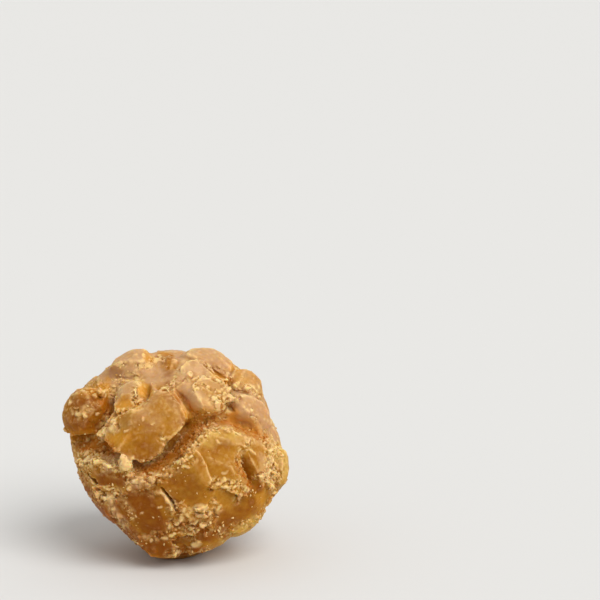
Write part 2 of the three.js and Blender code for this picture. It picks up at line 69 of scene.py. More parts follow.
# Adds a node with its settings. Inputs are a list, in the node's own order, or go by name; each is
# a plain value, a socket, or a node whose first output is meant.
def addNode(tree, kind, inputs=(), operation=None, **settings):
    families = ("GeometryNode", "ShaderNode", "FunctionNode")
    node = tree.nodes.new(next(family + kind for family in families if hasattr(bpy.types, family + kind)))
    if operation:
        settings["operation"] = operation
    for name, value in settings.items():
        setattr(node, name, value)
    for key, value in inputs.items() if isinstance(inputs, dict) else enumerate(inputs):
        free = [socket for socket in node.inputs if socket.enabled]
        socket = free[key] if isinstance(key, int) else next(one for one in free if one.name == key)
        if isinstance(value, bpy.types.Node):
            value = next(one for one in value.outputs if one.enabled)
        if isinstance(value, bpy.types.NodeSocket):
            tree.links.new(value, socket)
        else:
            socket.default_value = value
    return node


noiseMiddle = (0.5, 0.5, 0.5)  # noise colours waver about this


def newTree(name, sizes):
    tree = bpy.data.node_groups.new(name, "GeometryNodeTree")
    tree.interface.new_socket("Geometry", in_out="INPUT", socket_type="NodeSocketGeometry")
    for label, kind in sizes.items():
        tree.interface.new_socket(label, in_out="INPUT", socket_type="NodeSocket" + kind)
    tree.interface.new_socket("Geometry", in_out="OUTPUT", socket_type="NodeSocketGeometry")
    return tree, tree.nodes.new("NodeGroupInput").outputs, tree.nodes.new("NodeGroupOutput").inputs


# Every tree ends the same way: plain faces with their material.
def endTree(tree, shape, given, result):
    shape = addNode(tree, "RealizeInstances", [shape])
    shape = addNode(tree, "SetMaterial", {"Geometry": shape, "Material": given["Material"]})
    tree.links.new(shape.outputs[0], result[0])


def plainMesh(piece):
    bpy.context.view_layer.update()
    graph = bpy.context.evaluated_depsgraph_get()
    return bpy.data.meshes.new_from_object(piece.evaluated_get(graph), depsgraph=graph)


def runTree(piece, tree, sizes):
    made = piece.modifiers.new(tree.name, "NODES")
    made.node_group = tree
    for item in tree.interface.items_tree:
        if item.in_out == "INPUT" and item.name in sizes:
            made[item.identifier] = sizes[item.name]
    mesh = plainMesh(piece)
    piece.modifiers.clear()
    return mesh


def putInScene(name, data):
    piece = bpy.data.objects.new(name, data)
    bpy.context.scene.collection.objects.link(piece)
    return piece


# Bands across the broken side: a path of places, half the width of the band and its strength.
# Crumbly ones have a second strength, for how dusty they are.
crumbBands = {
    "shelfRim": ([(-28.6, -1.2), (-24, -1.4), (-20, -2.4), (-17, -3.2), (-12, -4.4)], 1.9, 1.0, 1.0),
    "shelfFoot": ([(-26.4, -3.4), (-25.6, -7)], 1.4, 0.5, 0.7),
    "crackBank": ([(-12.4, -7.2), (-9, -7.4), (-5.4, -6.2), (-2.6, -5), (0.4, -2.8), (3.2, -1.6)],
                  1.6, 0.9, 0.55),
    "crackBankLow": ([(-12, -9), (-8, -9.2), (-5.5, -10.6)], 1.2, 0.5, 0.5),
    "plateLeftRim": ([(3, -2.4), (3.8, 1), (6, 4), (8, 5.8)], 1.0, 0.7, 0.9),
    "plateTopRim": ([(10, 6.4), (14.6, 6.7), (17.6, 5.4), (19.4, 3.2)], 0.6, 0.7, 1.0),
    "plateCorner": ([(10.6, -7.8), (13.4, -8.6), (16.4, -8.6)], 1.3, 0.9, 1.0),
    "plateFoot": ([(19, -9.4), (17.4, -11.2), (16.2, -12.8)], 0.9, 0.8, 0.9),
    "chipTop": ([(17.8, 0.8), (19.4, 2), (21, 3.4)], 1.0, 0.6, 0.7),
    "chipSide": ([(24.6, 4.6), (26.2, 1.6), (25.8, -2), (25.4, -6)], 1.3, 0.9, 1.0),
    "chipFoot": ([(21.4, -6.7), (24.4, -6.4), (25.6, -9.2)], 1.0, 0.9, 1.0),
    "rightEdge": ([(26.6, -9.6), (27.4, -12), (25.4, -15), (22.4, -18.2)], 1.1, 0.7, 0.8),
    "lowerRightRim": ([(14, -21.6), (16.4, -19.8), (20, -19.4)], 1.1, 0.6, 0.6),
    "bedTop": ([(-0.6, -15), (2.6, -15.6), (6, -16), (9.6, -16.4)], 1.5, 0.9, 0.75),
    "bed": ([(-0.4, -19), (3.6, -18.8), (7.8, -19)], 2.3, 1.0, 0.6),
    "bedFoot": ([(-5.6, -22.6), (-1.6, -21.8), (3.4, -21.8), (5, -23)], 1.3, 0.8, 0.5),
    "bedSide": ([(10.2, -12.8), (11.4, -15)], 0.8, 0.8, 0.9),
    "underBed": ([(10.4, -20.4), (12.2, -22.4)], 1.0, 0.6, 0.6),
    "toeRim": ([(-2.4, -27.2), (2.6, -26), (5, -27.6)], 1.0, 0.6, 0.7),
    "toeRight": ([(7.4, -26.6), (9.6, -27)], 0.9, 0.7, 0.8),
    "lowerLeftRim": ([(-18, -14.2), (-17, -16.4), (-15.6, -18.2), (-14.6, -19.8)], 0.8, 0.8, 0.6),
    "lowerLeftChips": ([(-21.6, -11), (-18.6, -11.4), (-16, -10.6)], 1.5, 1.0, 0.8),
    "lowerLeftEdge": ([(-13.2, -23.8), (-10.8, -24.4)], 0.9, 0.8, 0.7),
    "shelfUnder": ([(-19, -8.8), (-16.4, -9.2)], 0.8, 0.8, 0.8),
    "shelfChips": ([(-18.4, -2.6), (-15.4, -2.2)], 1.6, 0.6, 1.0),
    "lobeSide": ([(-28.6, 8), (-27.6, 12), (-24.4, 15.6)], 4.2, 0.18, 0.03),
    "lobeCrumbs": ([(-27.4, 11.8), (-25.4, 11.2), (-24, 12.6)], 1.1, 0.7, 0.7),
    "lobeInside": ([(-21.6, 9), (-22, 14), (-20.6, 18)], 2.6, 0.3, 0.0),
    "greatPlateLeft": ([(-17.8, 11), (-19.4, 8.6), (-20.6, 6), (-20.8, 4.4)], 1.1, 0.9, 0.9),
    "greatPlateChips": ([(-18, 9.2), (-16.6, 7.4)], 1.2, 0.8, 0.7),
    "greatPlateTop": ([(-15.6, 11.6), (-11.6, 12.2), (-9.2, 13), (-8.6, 15)], 0.7, 0.6, 0.8),
    "greatPlateLip": ([(-4.4, 4.2), (-2.6, 3.6), (-2.6, 1.6), (-5, -0.8), (-7, -2)], 0.6, 0.6, 0.7),
    "crackFloor": ([(-9, -4), (-4, -3), (0.4, -0.6), (3.4, 3), (5.8, 7)], 2.2, 0.8, 0.1),
    "crackEnd": ([(7.4, 7.6), (10.4, 8.2)], 1.2, 0.8, 0.4),
    "recess": ([(-25.6, 1.4), (-21.6, 1), (-17, 1)], 1.2, 0.6, 0.3),
    "recessLedge": ([(-27, 4), (-22, 4), (-19, 3)], 1.6, 0.3, 0.0),
    "greatPlateWall": ([(-1.6, 17), (3.4, 12.4), (4.6, 9.4), (1.6, 5.6), (-1.4, 2.6)], 0.9, 0.3, 0.0),
    "bandWall": ([(5.6, 10), (9, 9.6), (12.6, 9.8)], 1.2, 0.6, 0.3),
    "rightKnob": ([(27.6, 2), (29, -0.6), (28.8, -5), (27.6, -8)], 0.9, 0.7, 0.5),
    "slitSides": ([(17, -1.2), (17.6, -4.6), (19.6, -9)], 0.8, 0.6, 0.5),
    "lowerLeftSub": ([(-14.6, -12.6), (-12.4, -15.6), (-12.8, -19)], 0.9, 0.5, 0.6),
    "lowerPlateLow": ([(-12.4, -21.2), (-8.6, -22.4), (-5, -21.6)], 0.8, 0.6, 0.6),
    "crownMiddle": ([(7, 25.2), (11, 24), (13, 22.6)], 0.5, 0.3, 0.5),
    "knobTop": ([(-16, 20), (-12.6, 21.4), (-11, 22), (-9.4, 20.4)], 0.9, 0.7, 1.0),
    "knobSide": ([(-10.8, 18.4), (-11, 15.6), (-9.4, 14)], 0.8, 0.8, 0.6),
    "knobLeft": ([(-16, 19.4), (-17, 15.6)], 0.9, 0.6, 1.0),
    "browChips": ([(-10, 24.4), (-6.6, 24)], 0.9, 0.7, 1.0),
    "browSide": ([(-15.8, 24.4), (-14.4, 24.8)], 0.8, 0.6, 0.8),
    "crownChips": ([(-5.6, 25.6), (-4.2, 26.4)], 0.9, 0.7, 0.8),
    "crownFoot": ([(-2.6, 23.6), (1.6, 22.6)], 0.6, 0.3, 0.3),
    "bandLeftRim": ([(-3.2, 17.8), (-1, 18.6), (0.6, 20.6)], 0.6, 0.6, 0.9),
    "bandTop": ([(1, 19.8), (5, 20.4), (9, 20.6), (13, 19.2)], 0.6, 0.6, 1.0),
    "bandMiddle": ([(5, 17.4), (8, 18.4), (11, 16.6)], 0.5, 0.5, 0.7),
    "bandRim": ([(10.6, 15), (11.8, 13.4), (12.4, 10.8)], 1.3, 0.9, 1.0),
    "shoulderRim": ([(13, 16.6), (15.6, 18), (19.6, 17.8), (23, 15.8)], 1.1, 0.6, 1.0),
    "shoulderSide": ([(14, 13), (15.4, 14.2)], 1.1, 0.7, 1.0),
    "shoulderFoot": ([(21, 9.6), (24, 5.6), (27, 2.4)], 0.8, 0.4, 0.6),
    "shoulderUnder": ([(15.8, 8.4), (19, 6.8), (22.6, 4.4)], 1.0, 0.3, 0.2),
    "browRight": ([(13.6, 22.6), (14.4, 20.8)], 0.7, 0.4, 0.8),
}
# Thin places, painted amber as a glow of the light that comes through them.
amberGlowBands = {
    "greatPlateFacet": ([(-19, 4.4), (-15, 4.2), (-13.4, 5)], 1.7, 0.8),
    "band": ([(8, 13.6), (10, 12)], 1.6, 0.5),
    "knob": ([(-15.6, 14), (-13, 14.6)], 1.6, 0.7),
    "besideKnob": ([(-8.6, 18.6), (-7.6, 16.6)], 1.4, 0.8),
    "browHollow": ([(-7.6, 27.6), (-6.8, 26)], 1.2, 0.9),
    "crownHollow": ([(-3.4, 27.2), (-1.2, 26), (-1.6, 24.4)], 1.4, 0.8),
    "browRightUnder": ([(11, 21.6), (13.6, 20.4), (14.4, 19.4)], 1.0, 0.9),
    "sideRight": ([(16.4, 23.6), (17.8, 22.6)], 1.4, 0.7),
    "browRight": ([(18, 20), (20, 21)], 2.4, 0.4),
    "lowerRight": ([(22.4, -11), (22.6, -14)], 1.5, 0.6),
    "lobeTop": ([(-25, 17.4), (-22, 18.2), (-19, 18.6)], 1.8, 0.9),
    "toeUnder": ([(-7, -26.6), (-4.6, -27.6)], 1.0, 0.6),
    "rightFoot": ([(22.4, -9.6), (23, -13)], 1.5, 0.7),
    "recessTop": ([(-28.4, 5.4), (-24, 5.6), (-20.6, 5.8)], 1.6, 0.8),
}
# Undersides of petals, painted with a bright glow of the light that comes through them.
paintedGlowBands = {
    "bandUnder": ([(3.4, 12.6), (5, 10.8), (8, 10.6), (11, 11)], 1.5, 1.0),
    "knobUnder": ([(-16.6, 12.6), (-13, 12.8), (-10.6, 13.4)], 1.4, 0.9),
    "shoulderUnder": ([(15.4, 10.2), (19, 8.6), (22, 7)], 1.4, 0.8),
    "besideKnob": ([(-8.8, 18.4), (-8, 16)], 1.2, 0.5),
}
# Thin rims that are more yellow than amber: their own yellow tone, and a painted glow of the light coming
# through them.
yellowGlowBands = {
    "rightPlateTop": ([(8, 3.6), (12, 4.8), (16, 4)], 2.0, 0.8),
    "rightRim": ([(28.4, 0), (29, -4), (27.4, -8)], 2.4, 1.0),
    "chipTop": ([(25.4, 2), (26.6, -3)], 1.4, 0.6),
    "lowerRight": ([(13, -23.6), (18, -21.6), (21.6, -18.6)], 1.6, 1.0),
    "shelfEdge": ([(-27.6, -3), (-26, -6), (-24.4, -8.6)], 1.4, 0.6),
    "bankTop": ([(-8, -9), (-5, -9.6)], 1.4, 0.5),
    "greatPlateTip": ([(-14, 8.4), (-12.6, 10)], 1.6, 0.5),
}
# Clean faces of the dense inside, a deep brown, also used as painted shade: on plates facing down, in the
# dark of the crack and the cavity, and down the left side.
brownAndShadeBands = {
    "lowerPlate": ([(-9.6, -12), (-8, -16), (-6, -20)], 4.4, 0.9),
    "toePlate": ([(-6, -24.6), (-3.6, -25.6)], 2.6, 1.0),
    "shelfPlate": ([(-19.4, -6), (-14.6, -6.6)], 1.9, 0.9),
    "middleWedge": ([(1, -6), (4, -9), (6, -11.4)], 2.8, 0.5),
    "lobeLow": ([(-28, 10), (-26, 7.4), (-23, 8.4)], 3.0, 0.7),
    "lobe": ([(-25, 14.4), (-22, 12)], 3.4, 0.7),
    "lobeTop": ([(-23, 17), (-20, 16)], 2.0, 0.5),
    "greatPlateRight": ([(-1.4, 15), (2, 12), (2.6, 9)], 1.8, 0.5),
    "greatPlateMiddle": ([(-13, 8), (-8.4, 6), (-7, 0.6)], 3.6, 0.45),
    "greatPlateTop": ([(-5, 15), (-2, 11)], 2.2, 0.3),
    "crownHollow": ([(-3.6, 26.4), (-1.4, 26), (-1.6, 20)], 1.5, 0.6),
    "lowerLeftSub": ([(-14.4, -12.6), (-13.6, -16.6)], 2.4, 0.9),
    "bedTop": ([(-1, -13.4), (1, -16)], 1.5, 0.8),
    "toeTop": ([(-3, -23), (5, -23.4)], 1.6, 0.5),
    "rightFoot": ([(19.4, -10.6), (20, -15), (15, -17.4), (11.4, -18.4)], 2.4, 0.7),
    "plateLeft": ([(5, -2.6), (6.4, -4.4)], 1.4, 0.35),
    "plateTop": ([(11.6, 3), (15, 2.4)], 1.4, 0.5),
    "crown": ([(8, 24.6), (10.6, 24)], 1.4, 0.3),
    "underPlate": ([(22, -9.6), (20, -10.4)], 1.6, 0.8),
    "rightRim": ([(28.6, -3), (28, -8), (26.6, -12)], 1.6, 0.45),
    "bank": ([(-13, -6), (-8, -6.2), (-3, -5.4)], 1.6, 0.5),
    "bedDark": ([(6.4, -21.8), (8.4, -22.4)], 1.4, 0.8),
    "toe": ([(0.6, -27), (3, -26.4), (6, -26.6)], 1.8, 0.9),
    "foot": ([(7, -22.4), (13, -22)], 1.7, 0.9),
    "lowerRightPlate": ([(13, -17.6), (17, -17.4)], 1.8, 0.5),
    "slit": ([(17, -1.6), (18, -4), (19.6, -7), (20, -8.6)], 0.9, 0.5),
    "crackDark": ([(-11, -3.8), (-7, -4.6)], 1.1, 0.9),
    "cavity": ([(-18.8, 14.4), (-18.2, 12)], 1.2, 0.8),
    "leftSide": ([(-28, -5), (-25.6, -9.8), (-20.4, -14.6), (-16, -19.4), (-10, -24)], 2.6, 0.9),
    "bed": ([(-0.4, -19), (3.6, -18.8), (7.8, -19)], 2.6, 0.7),
}
# Clefts that hardly any dust has reached: a deep orange brown.
cleftBands = {
    "recess": ([(-25, 2.4), (-21, 3), (-17.6, 1.4)], 1.9, 0.9),
    "cavity": ([(-19.4, 14.4), (-18.4, 12), (-19, 9.6)], 1.4, 1.0),
    "crackDark": ([(-11, -3.6), (-7, -4.6), (-4, -3.6)], 1.5, 1.0),
    "crackSlope": ([(-5, -3), (0, -0.4), (3, 3), (6, 7.4), (9, 9.2), (12.6, 9.8)], 1.9, 0.9),
    "shoulderCleft": ([(15.2, 13), (15.3, 11.6), (15.6, 10.6)], 1.1, 0.95),
    "shoulderFoot": ([(23.4, 5.4), (25, 3.4)], 0.8, 0.9),
    "shoulderUnder": ([(15.2, 11), (16, 8.2), (18.4, 6.8), (21.4, 5.8), (23.6, 4.2)], 1.2, 0.9),
    "besideKnob": ([(-9.6, 13.6), (-8.8, 15)], 0.8, 0.8),
    "greatPlateEdge": ([(-0.4, 17.4), (3, 13.6), (4.8, 10)], 0.8, 0.8),
    "slit": ([(17, -1.6), (18, -4), (19.6, -7), (20, -8.6)], 1.1, 0.9),
}
# The pressed outside: smooth, dull and a little pink. The whole back has it too.
skinBands = {
    "brow": ([(-17, 23.4), (-12, 26), (-7, 28.4)], 4.0, 1.0),
    "browFoot": ([(-13, 21.8), (-8, 22), (-4, 21.8)], 2.6, 0.9),
    "crown": ([(1, 28.4), (8, 27), (13, 24)], 3.4, 1.0),
    "upperKnob": ([(3, 22.4), (7, 22.2)], 2.6, 1.0),
    "browRight": ([(17, 20.6), (21.6, 18.6)], 3.2, 0.35),
    "shoulder": ([(19, 14.6), (23, 12), (26, 6)], 3.6, 0.9),
    "knob": ([(-13.6, 19), (-12.6, 16.6)], 2.0, 0.5),
    "band": ([(3, 16.6), (7, 15)], 2.0, 0.35),
    "bandLeft": ([(2.4, 18), (4, 15.4), (6, 13)], 1.4, 0.7),
    "shoulderLow": ([(16.4, 12), (19, 10), (22.6, 8)], 2.0, 0.9),
    "leftSide": ([(-28.4, -4), (-25.6, -9.4), (-21.4, -14.6), (-16.6, -19.4), (-12.8, -22)], 2.2, 0.6),
}
# Fine pale dust, pressed into the skin.
powderBands = {
    "upperKnob": ([(3.2, 22.4), (5.4, 22.4)], 2.0, 0.9),
    "bandLeft": ([(1, 18.6), (5, 17)], 2.0, 0.8),
    "bandTop": ([(5.6, 19.4), (11, 18.6)], 1.4, 0.5),
    "bandMiddle": ([(4.4, 14.4), (9.6, 13)], 2.2, 1.0),
    "shoulderTop": ([(14.2, 16.8), (18, 17.2), (21, 16.6)], 1.5, 0.9),
    "shoulderLow": ([(16.6, 13), (18.6, 10.6)], 1.6, 0.6),
    "shoulderSide": ([(15.6, 16.4), (15.8, 13.8)], 1.4, 0.8),
    "brow": ([(-13, 22.8), (-7, 22.6)], 1.7, 0.8),
    "knobLeft": ([(-16.2, 19), (-16.6, 14.6)], 1.4, 0.8),
    "chipSide": ([(24.4, -2), (24.8, -6.6)], 1.7, 0.8),
    "shelfChips": ([(-18.6, -2.4), (-15, -2)], 1.8, 1.0),
    "plateLeft": ([(-20, 5.6), (-18, 9)], 1.3, 0.7),
    "lowerLeftRim": ([(-18, -11.4), (-16.8, -15), (-14.6, -18.4)], 1.2, 0.7),
    "bank": ([(-12, -7.6), (-7.4, -7.4)], 1.4, 0.7),
}
# Gaps that are half filled, so that one petal of the block runs softly into the next.
softBands = {
    "brow": ([(-18, 20.6), (-14, 22.2), (-11, 22.4), (-6.6, 22)], 2.1, 1.0),
    "browRight": ([(-8, 21.4), (-4.6, 21.4), (-2, 21)], 1.7, 0.6),
    "besideKnob": ([(-9, 20.4), (-7.6, 17), (-8.6, 13.6)], 1.9, 0.6),
    "plateHorn": ([(-7.2, 21.4), (-6.6, 18.6)], 1.7, 0.8),
    "besideLobe": ([(-16.2, 20), (-16.8, 16)], 1.3, 0.5),
    "bandLeft": ([(0.4, 20), (3, 14), (5.4, 9.6)], 2.1, 0.6),
    "bandFoot": ([(5, 10), (9, 9.8), (12.6, 10.4)], 1.9, 0.8),
    "crown": ([(8.6, 26.4), (12.8, 22.6)], 1.6, 0.6),
    "crownHollow": ([(-6, 26.6), (-3.4, 25)], 1.6, 0.3),
    "shoulder": ([(14.6, 11), (18, 8.4), (22, 6.6), (25, 4)], 2.1, 0.6),
    "shoulderPit": ([(14.8, 12.8), (16, 12.2)], 1.6, 1.0),
    "slit": ([(16.8, -0.6), (17.9, -3.4), (19.6, -6.6), (20.4, -9)], 1.8, 0.95),
    "lowerLeft": ([(-11, -11), (-11.6, -15), (-13, -18)], 1.3, 0.6),
    "wedge": ([(5.6, -13.2), (8.4, -10.6)], 1.0, 0.3),
}
# Cracks pressed into the filled skin; the last number is their depth in mm.
grooveBands = {
    "greatPlateEdge": ([(-0.6, 17.6), (2.8, 13.8), (4.8, 9.8)], 0.6, 0.3),
    "upperKnob": ([(8.2, 24.4), (10.6, 22.6), (13.4, 21)], 0.4, 0.4),
    "shoulder": ([(14.2, 14.6), (14.8, 11.4)], 0.5, 0.6),
}
# The crumbs that stand out, one by one: across, up, length, width and turn, in mm and degrees.
placedChips = {
    "shelf": [(-13.3, -2.3, 4.2, 3.8, 80), (-12, -1.2, 2, 1.6, 20), (-14.3, -0.7, 1.9, 1.6, -30),
              (-12.4, -3.8, 2.2, 1.6, 10), (-14.8, -3.4, 1.5, 1.3, 60), (-17.6, -3.1, 3, 1.4, -25),
              (-24.4, -0.8, 2.2, 1.5, 10), (-28, -1.4, 2, 1.6, 40), (-21.6, -1.8, 1.6, 1.2, 0),
              (-19.4, -2.2, 1.3, 1.1, 30), (-26, -2.6, 1.6, 1.2, -20), (-23, -2.8, 1.2, 0.9, 15),
              (-24.4, 0.8, 1.6, 0.8, 20)],
    "seam": [(-2.3, -12.2, 6.6, 0.9, -52), (-4.4, -14.2, 1.6, 0.5, 0), (-0.8, -12.6, 1.2, 0.7, -50)],
    "lower": [(6.4, -14.4, 4.2, 2, -8), (10.4, -13.2, 1.3, 1.2, 0), (11.3, -14.8, 1.6, 0.9, 70),
              (5.2, -24.6, 3, 2, 10), (0.2, -26.6, 1.5, 1.3, 0), (8.4, -26.8, 1.8, 1, -10),
              (-7, -23.4, 1.2, 0.8, 30), (-3.2, -22.8, 2, 0.9, 0), (-0.6, -27.4, 1.6, 0.8, 20)],
    "bed": [(2.2, -15.2, 1.6, 0.9, 75), (8.8, -16, 1.8, 1.3, 60), (6.6, -16.7, 2.4, 1, 5),
            (1.2, -17.6, 2, 1.4, 70), (5, -18.6, 2, 1, 35), (7.2, -19.4, 2.2, 1.3, -20),
            (4, -20.2, 1.4, 1, 0), (3.6, -21.8, 1.8, 0.8, -30), (-1, -21.8, 2, 0.9, 20),
            (0, -18.9, 1.4, 1, 0), (-2, -19.6, 1.3, 1, 50), (11.8, -20.4, 1.2, 0.7, 80),
            (12, -22.2, 0.9, 0.6, 0), (3, -16.8, 1.2, 0.8, -40), (6, -21, 1.3, 0.9, 40)],
    "lowerLeft": [(-18.6, -11.6, 2.6, 1.6, -10), (-21.4, -11, 1.8, 1.2, 70), (-17.8, -9, 2.4, 0.8, 5),
                  (-17, -14.4, 1.6, 1.2, 0), (-15.8, -17.4, 1.8, 1.2, -60), (-14.6, -19.4, 1.6, 1.1, 60),
                  (-11.2, -24, 2, 1, -15), (-13.8, -12.9, 1, 0.6, 0), (-12.2, -17, 1.1, 0.9, -40),
                  (-11, -16.8, 0.8, 0.6, 60), (-9.6, -15.8, 1.2, 0.5, 20), (-16.6, -10.6, 1.4, 1, 20)],
    "bank": [(-11.2, -7, 1.7, 1.4, 0), (-12.6, -9, 1.6, 1.2, 30), (-4.6, -5.4, 2, 1, -10),
             (-6.4, -5, 1.8, 0.8, -15), (-1.4, -5.8, 1.5, 1, 40), (0.8, -2.2, 1.9, 1.4, 20),
             (2.8, -3.4, 2, 1.2, -35), (4.2, -0.8, 1.4, 1.1, 60), (-9, -7.2, 1.2, 0.9, 0)],
    "greatPlateLeft": [(-17, 7.4, 2.5, 1.8, 20), (-16.7, 9.1, 2, 1.6, 0), (-19.5, 6.3, 2, 1.6, 60),
                       (-18.6, 9.8, 1.8, 1.3, 40), (-20.1, 4.6, 2, 1.5, 80), (-13.4, 6.4, 1.1, 0.8, 0)],
    "greatPlate": [(-8.6, 9.6, 1.1, 0.8, 70), (-6.2, 8.2, 0.7, 0.5, -10), (-3.4, 4.1, 2, 0.9, 5),
                   (-3, 18.1, 2.3, 1, 15)],
    "lobe": [(-26.6, 11.4, 2.1, 1.2, 10), (-24.6, 10.8, 1.8, 1.2, -50), (-28.8, 14.6, 1.5, 1.2, 70),
             (-21.3, 11.3, 1.4, 1, 0), (-24.4, 4.6, 1.5, 1.2, 80), (-19.2, 17.4, 1.3, 0.8, 20),
             (-25.4, 17.6, 1.4, 0.7, -20)],
    "knob": [(-12.2, 21.4, 2.6, 1.2, 20), (-10.7, 17.2, 2, 0.8, -70), (-9.7, 20.2, 1.9, 1.3, -50),
             (-9.4, 14.6, 1.5, 0.9, 40), (-16.4, 18.4, 1.2, 0.8, 70)],
    "brow": [(-4.8, 25.8, 2.2, 1.4, 20), (-4.1, 26.9, 1.2, 1, 0), (-7.1, 24.2, 2.2, 1, -15),
             (-9.4, 24.6, 1.8, 1.2, 10), (-15.7, 24.5, 2.3, 0.9, 10), (-8.4, 27.2, 1.5, 0.8, -60)],
    "band": [(11.4, 13, 3.2, 2.2, -60), (12.2, 11.2, 1.9, 1.6, 0), (10.6, 14.9, 1.8, 1.2, -40),
             (5.6, 17.2, 1.9, 0.9, 40), (8.6, 20.4, 2.6, 0.9, 5), (11.6, 19.8, 1.9, 1, -20),
             (5.4, 20.3, 2, 0.9, 10), (10.8, 8.2, 1.7, 0.8, -30), (8, 7, 1.2, 0.9, 30)],
    "shoulder": [(16.6, 18.7, 2.3, 1.8, 30), (14.8, 17.4, 2, 1, 25), (19.6, 17.6, 2.5, 0.8, -5),
                 (14.4, 14, 1.6, 1.3, 0), (16.4, 13.6, 2, 1.4, 60), (14.2, 11.3, 2, 1.1, 80),
                 (20.7, 11.6, 1, 0.8, 0), (14.3, 22, 1.8, 0.9, 80)],
    "rightPlate": [(18.8, 1.8, 1, 0.8, 0), (17.6, 0.8, 1.2, 0.8, 40), (11.4, 3.1, 1.9, 0.5, -60),
                   (16.6, 5.8, 2.8, 0.6, -38), (13, -5.2, 1.6, 0.7, 0), (11.4, -8.2, 2, 1, -5),
                   (13, -7.3, 1.7, 1.4, 60), (13.4, -9.2, 2.6, 0.8, -5), (15.7, -9, 1.4, 0.8, 40),
                   (19.2, -9.8, 2, 1.2, 60), (17.3, -11.6, 2.2, 1, 60)],
    "rightSide": [(26.2, -2, 2, 1.3, 70), (25.4, -5.4, 2.4, 1.3, 60), (23, -6.5, 2.4, 1, -5),
                  (26, -9, 2, 1.5, -40), (24.6, 3.4, 1.7, 1, 40), (27, -11, 1.5, 1.3, 0),
                  (25.8, 0.6, 1.6, 1.2, 60), (24.8, -8, 1.3, 1, 0)],
}


# Broken bits of sugar are balls whose corners noise has pushed about, in several shapes.
chipShapes = {"count": 8, "noiseScale": 1.1, "noiseStep": 3.7}


def addChipShapes(tree, firstShape, uneven):
    add = partial(addNode, tree)
    shapes = add("JoinGeometry")
    for shape in range(firstShape, firstShape + chipShapes["count"]):
        ball = add("MeshIcoSphere", [1.0, 1])
        noise = add("TexNoise", {"Vector": add("InputPosition"), "W": shape * chipShapes["noiseStep"],
                    "Scale": chipShapes["noiseScale"], "Detail": 1.0}, noise_dimensions="4D")
        push = add("VectorMath", [noise.outputs["Color"], noiseMiddle], "SUBTRACT")
        push = add("VectorMath", [push, uneven], "SCALE")
        chip = add("ConvexHull", [add("SetPosition", {"Geometry": ball, "Offset": push})])
        tree.links.new(add("GeometryToInstance", [chip]).outputs[0], shapes.inputs[0])
    return shapes


# Each placed chip is several angular bits grown together: share of its size, how far along and
# across it the bit lies from the last, as shares of its length and width, and the turn in degrees.
chipBits = [(0.85, -0.08, 0, 0), (0.6, 0.4, 0.25, 50), (0.5, -0.45, -0.5, -35)]
chipFit = {
    "firstShape": 20,      # not the shapes of the loose crumbs
    "uneven": 1.5,         # how far corners are pushed
    "thickness": 0.55,     # share of the width
    "thinnest": 0.5,       # mm
    "proud": 0.06,         # how far its middle stands out, as a share of the width
    "wellOutside": 60,     # mm, where the way back to the skin starts
}


# The placed chips are fused with the lump, so that they sit in it like what they broke from.
def addChips(piece, material):
    faces = [face.vertices for face in piece.data.polygons]
    skin = BVHTree.FromPolygons([vert.co for vert in piece.data.vertices], faces)
    places, sizes, turns = [], [], []
    for across, up, length, width, turn in sum(placedChips.values(), []):
        thickness = max(chipFit["thickness"] * width, chipFit["thinnest"])
        for share, ahead, aside, turnedBy in chipBits:
            angle = math.radians(turn)
            across += ahead * length * math.cos(angle) - aside * width * math.sin(angle)
            up += ahead * length * math.sin(angle) + aside * width * math.cos(angle)
            hit, normal = skin.ray_cast(placeSquareOn(across, up, chipFit["wellOutside"]), -outWay)[:2]
            if hit is None:  # just past the edge
                hit, normal = skin.find_nearest(placeSquareOn(across, up))[:2]
            facing = (normal + outWay).normalized()
            angle = math.radians(turn + turnedBy)
            side = facing.cross(acrossWay * math.cos(angle) + upWay * math.sin(angle)).normalized()
            places.append(hit + facing * width * chipFit["proud"] * mm)
            sizes.append([length * share / 2 * mm, width * share / 2 * mm, thickness / 2 * mm])
            turns.append(Matrix((side.cross(facing), side, facing)).transposed().to_euler())
    points = bpy.data.meshes.new("chip places")
    points.from_pydata(places, [], [])
    for label, rows in (("size", sizes), ("turn", turns)):
        attribute = points.attributes.new(label, "FLOAT_VECTOR", "POINT")
        attribute.data.foreach_set("vector", [value for row in rows for value in row])

    tree, given, result = newTree("placed chips", {"Material": "Material"})
    add = partial(addNode, tree)
    size, turn = (add("InputNamedAttribute", [label], data_type="FLOAT_VECTOR") for label in ("size", "turn"))
    shapes = addChipShapes(tree, chipFit["firstShape"], chipFit["uneven"])
    chips = add("InstanceOnPoints", {"Points": given["Geometry"], "Pick Instance": True, "Instance": shapes,
                "Rotation": turn, "Scale": size})
    endTree(tree, chips, given, result)
    carrier = putInScene("chips", points)
    both = bmesh.new()
    both.from_mesh(piece.data)
    both.from_mesh(runTree(carrier, tree, {"Material": material}))
    both.to_mesh(piece.data)
    both.free()
    bpy.data.objects.remove(carrier)


# How the marks are spread over the lump, in mm and in shares. A pair of places says where something
# begins and is full.
spread = {
    "fade": 1.6,           # a band ends at this many half widths, and fades over the last one
    "front": (0, 3),       # bands fade where the lump turns to its back
    "foot": (16, 6),       # this far below the middle it starts to reach round, by this at most
    "dustWider": 1.15,
    "chipWidth": 0.42,
    "chipShortest": 0.2,
    "chipBed": 0.5,        # how crumbly it is round a chip
    "back": (0.8, 9),      # its share where the front ends, and over how far a whole one fades
    "footSoft": (0.4, (7, 4), (0, 2)),  # the back is a little softer between these heights
    "strewn": (0.12, 0.5, (-3, -11), (2, 7)),  # strays lie everywhere, and more low on the front
}


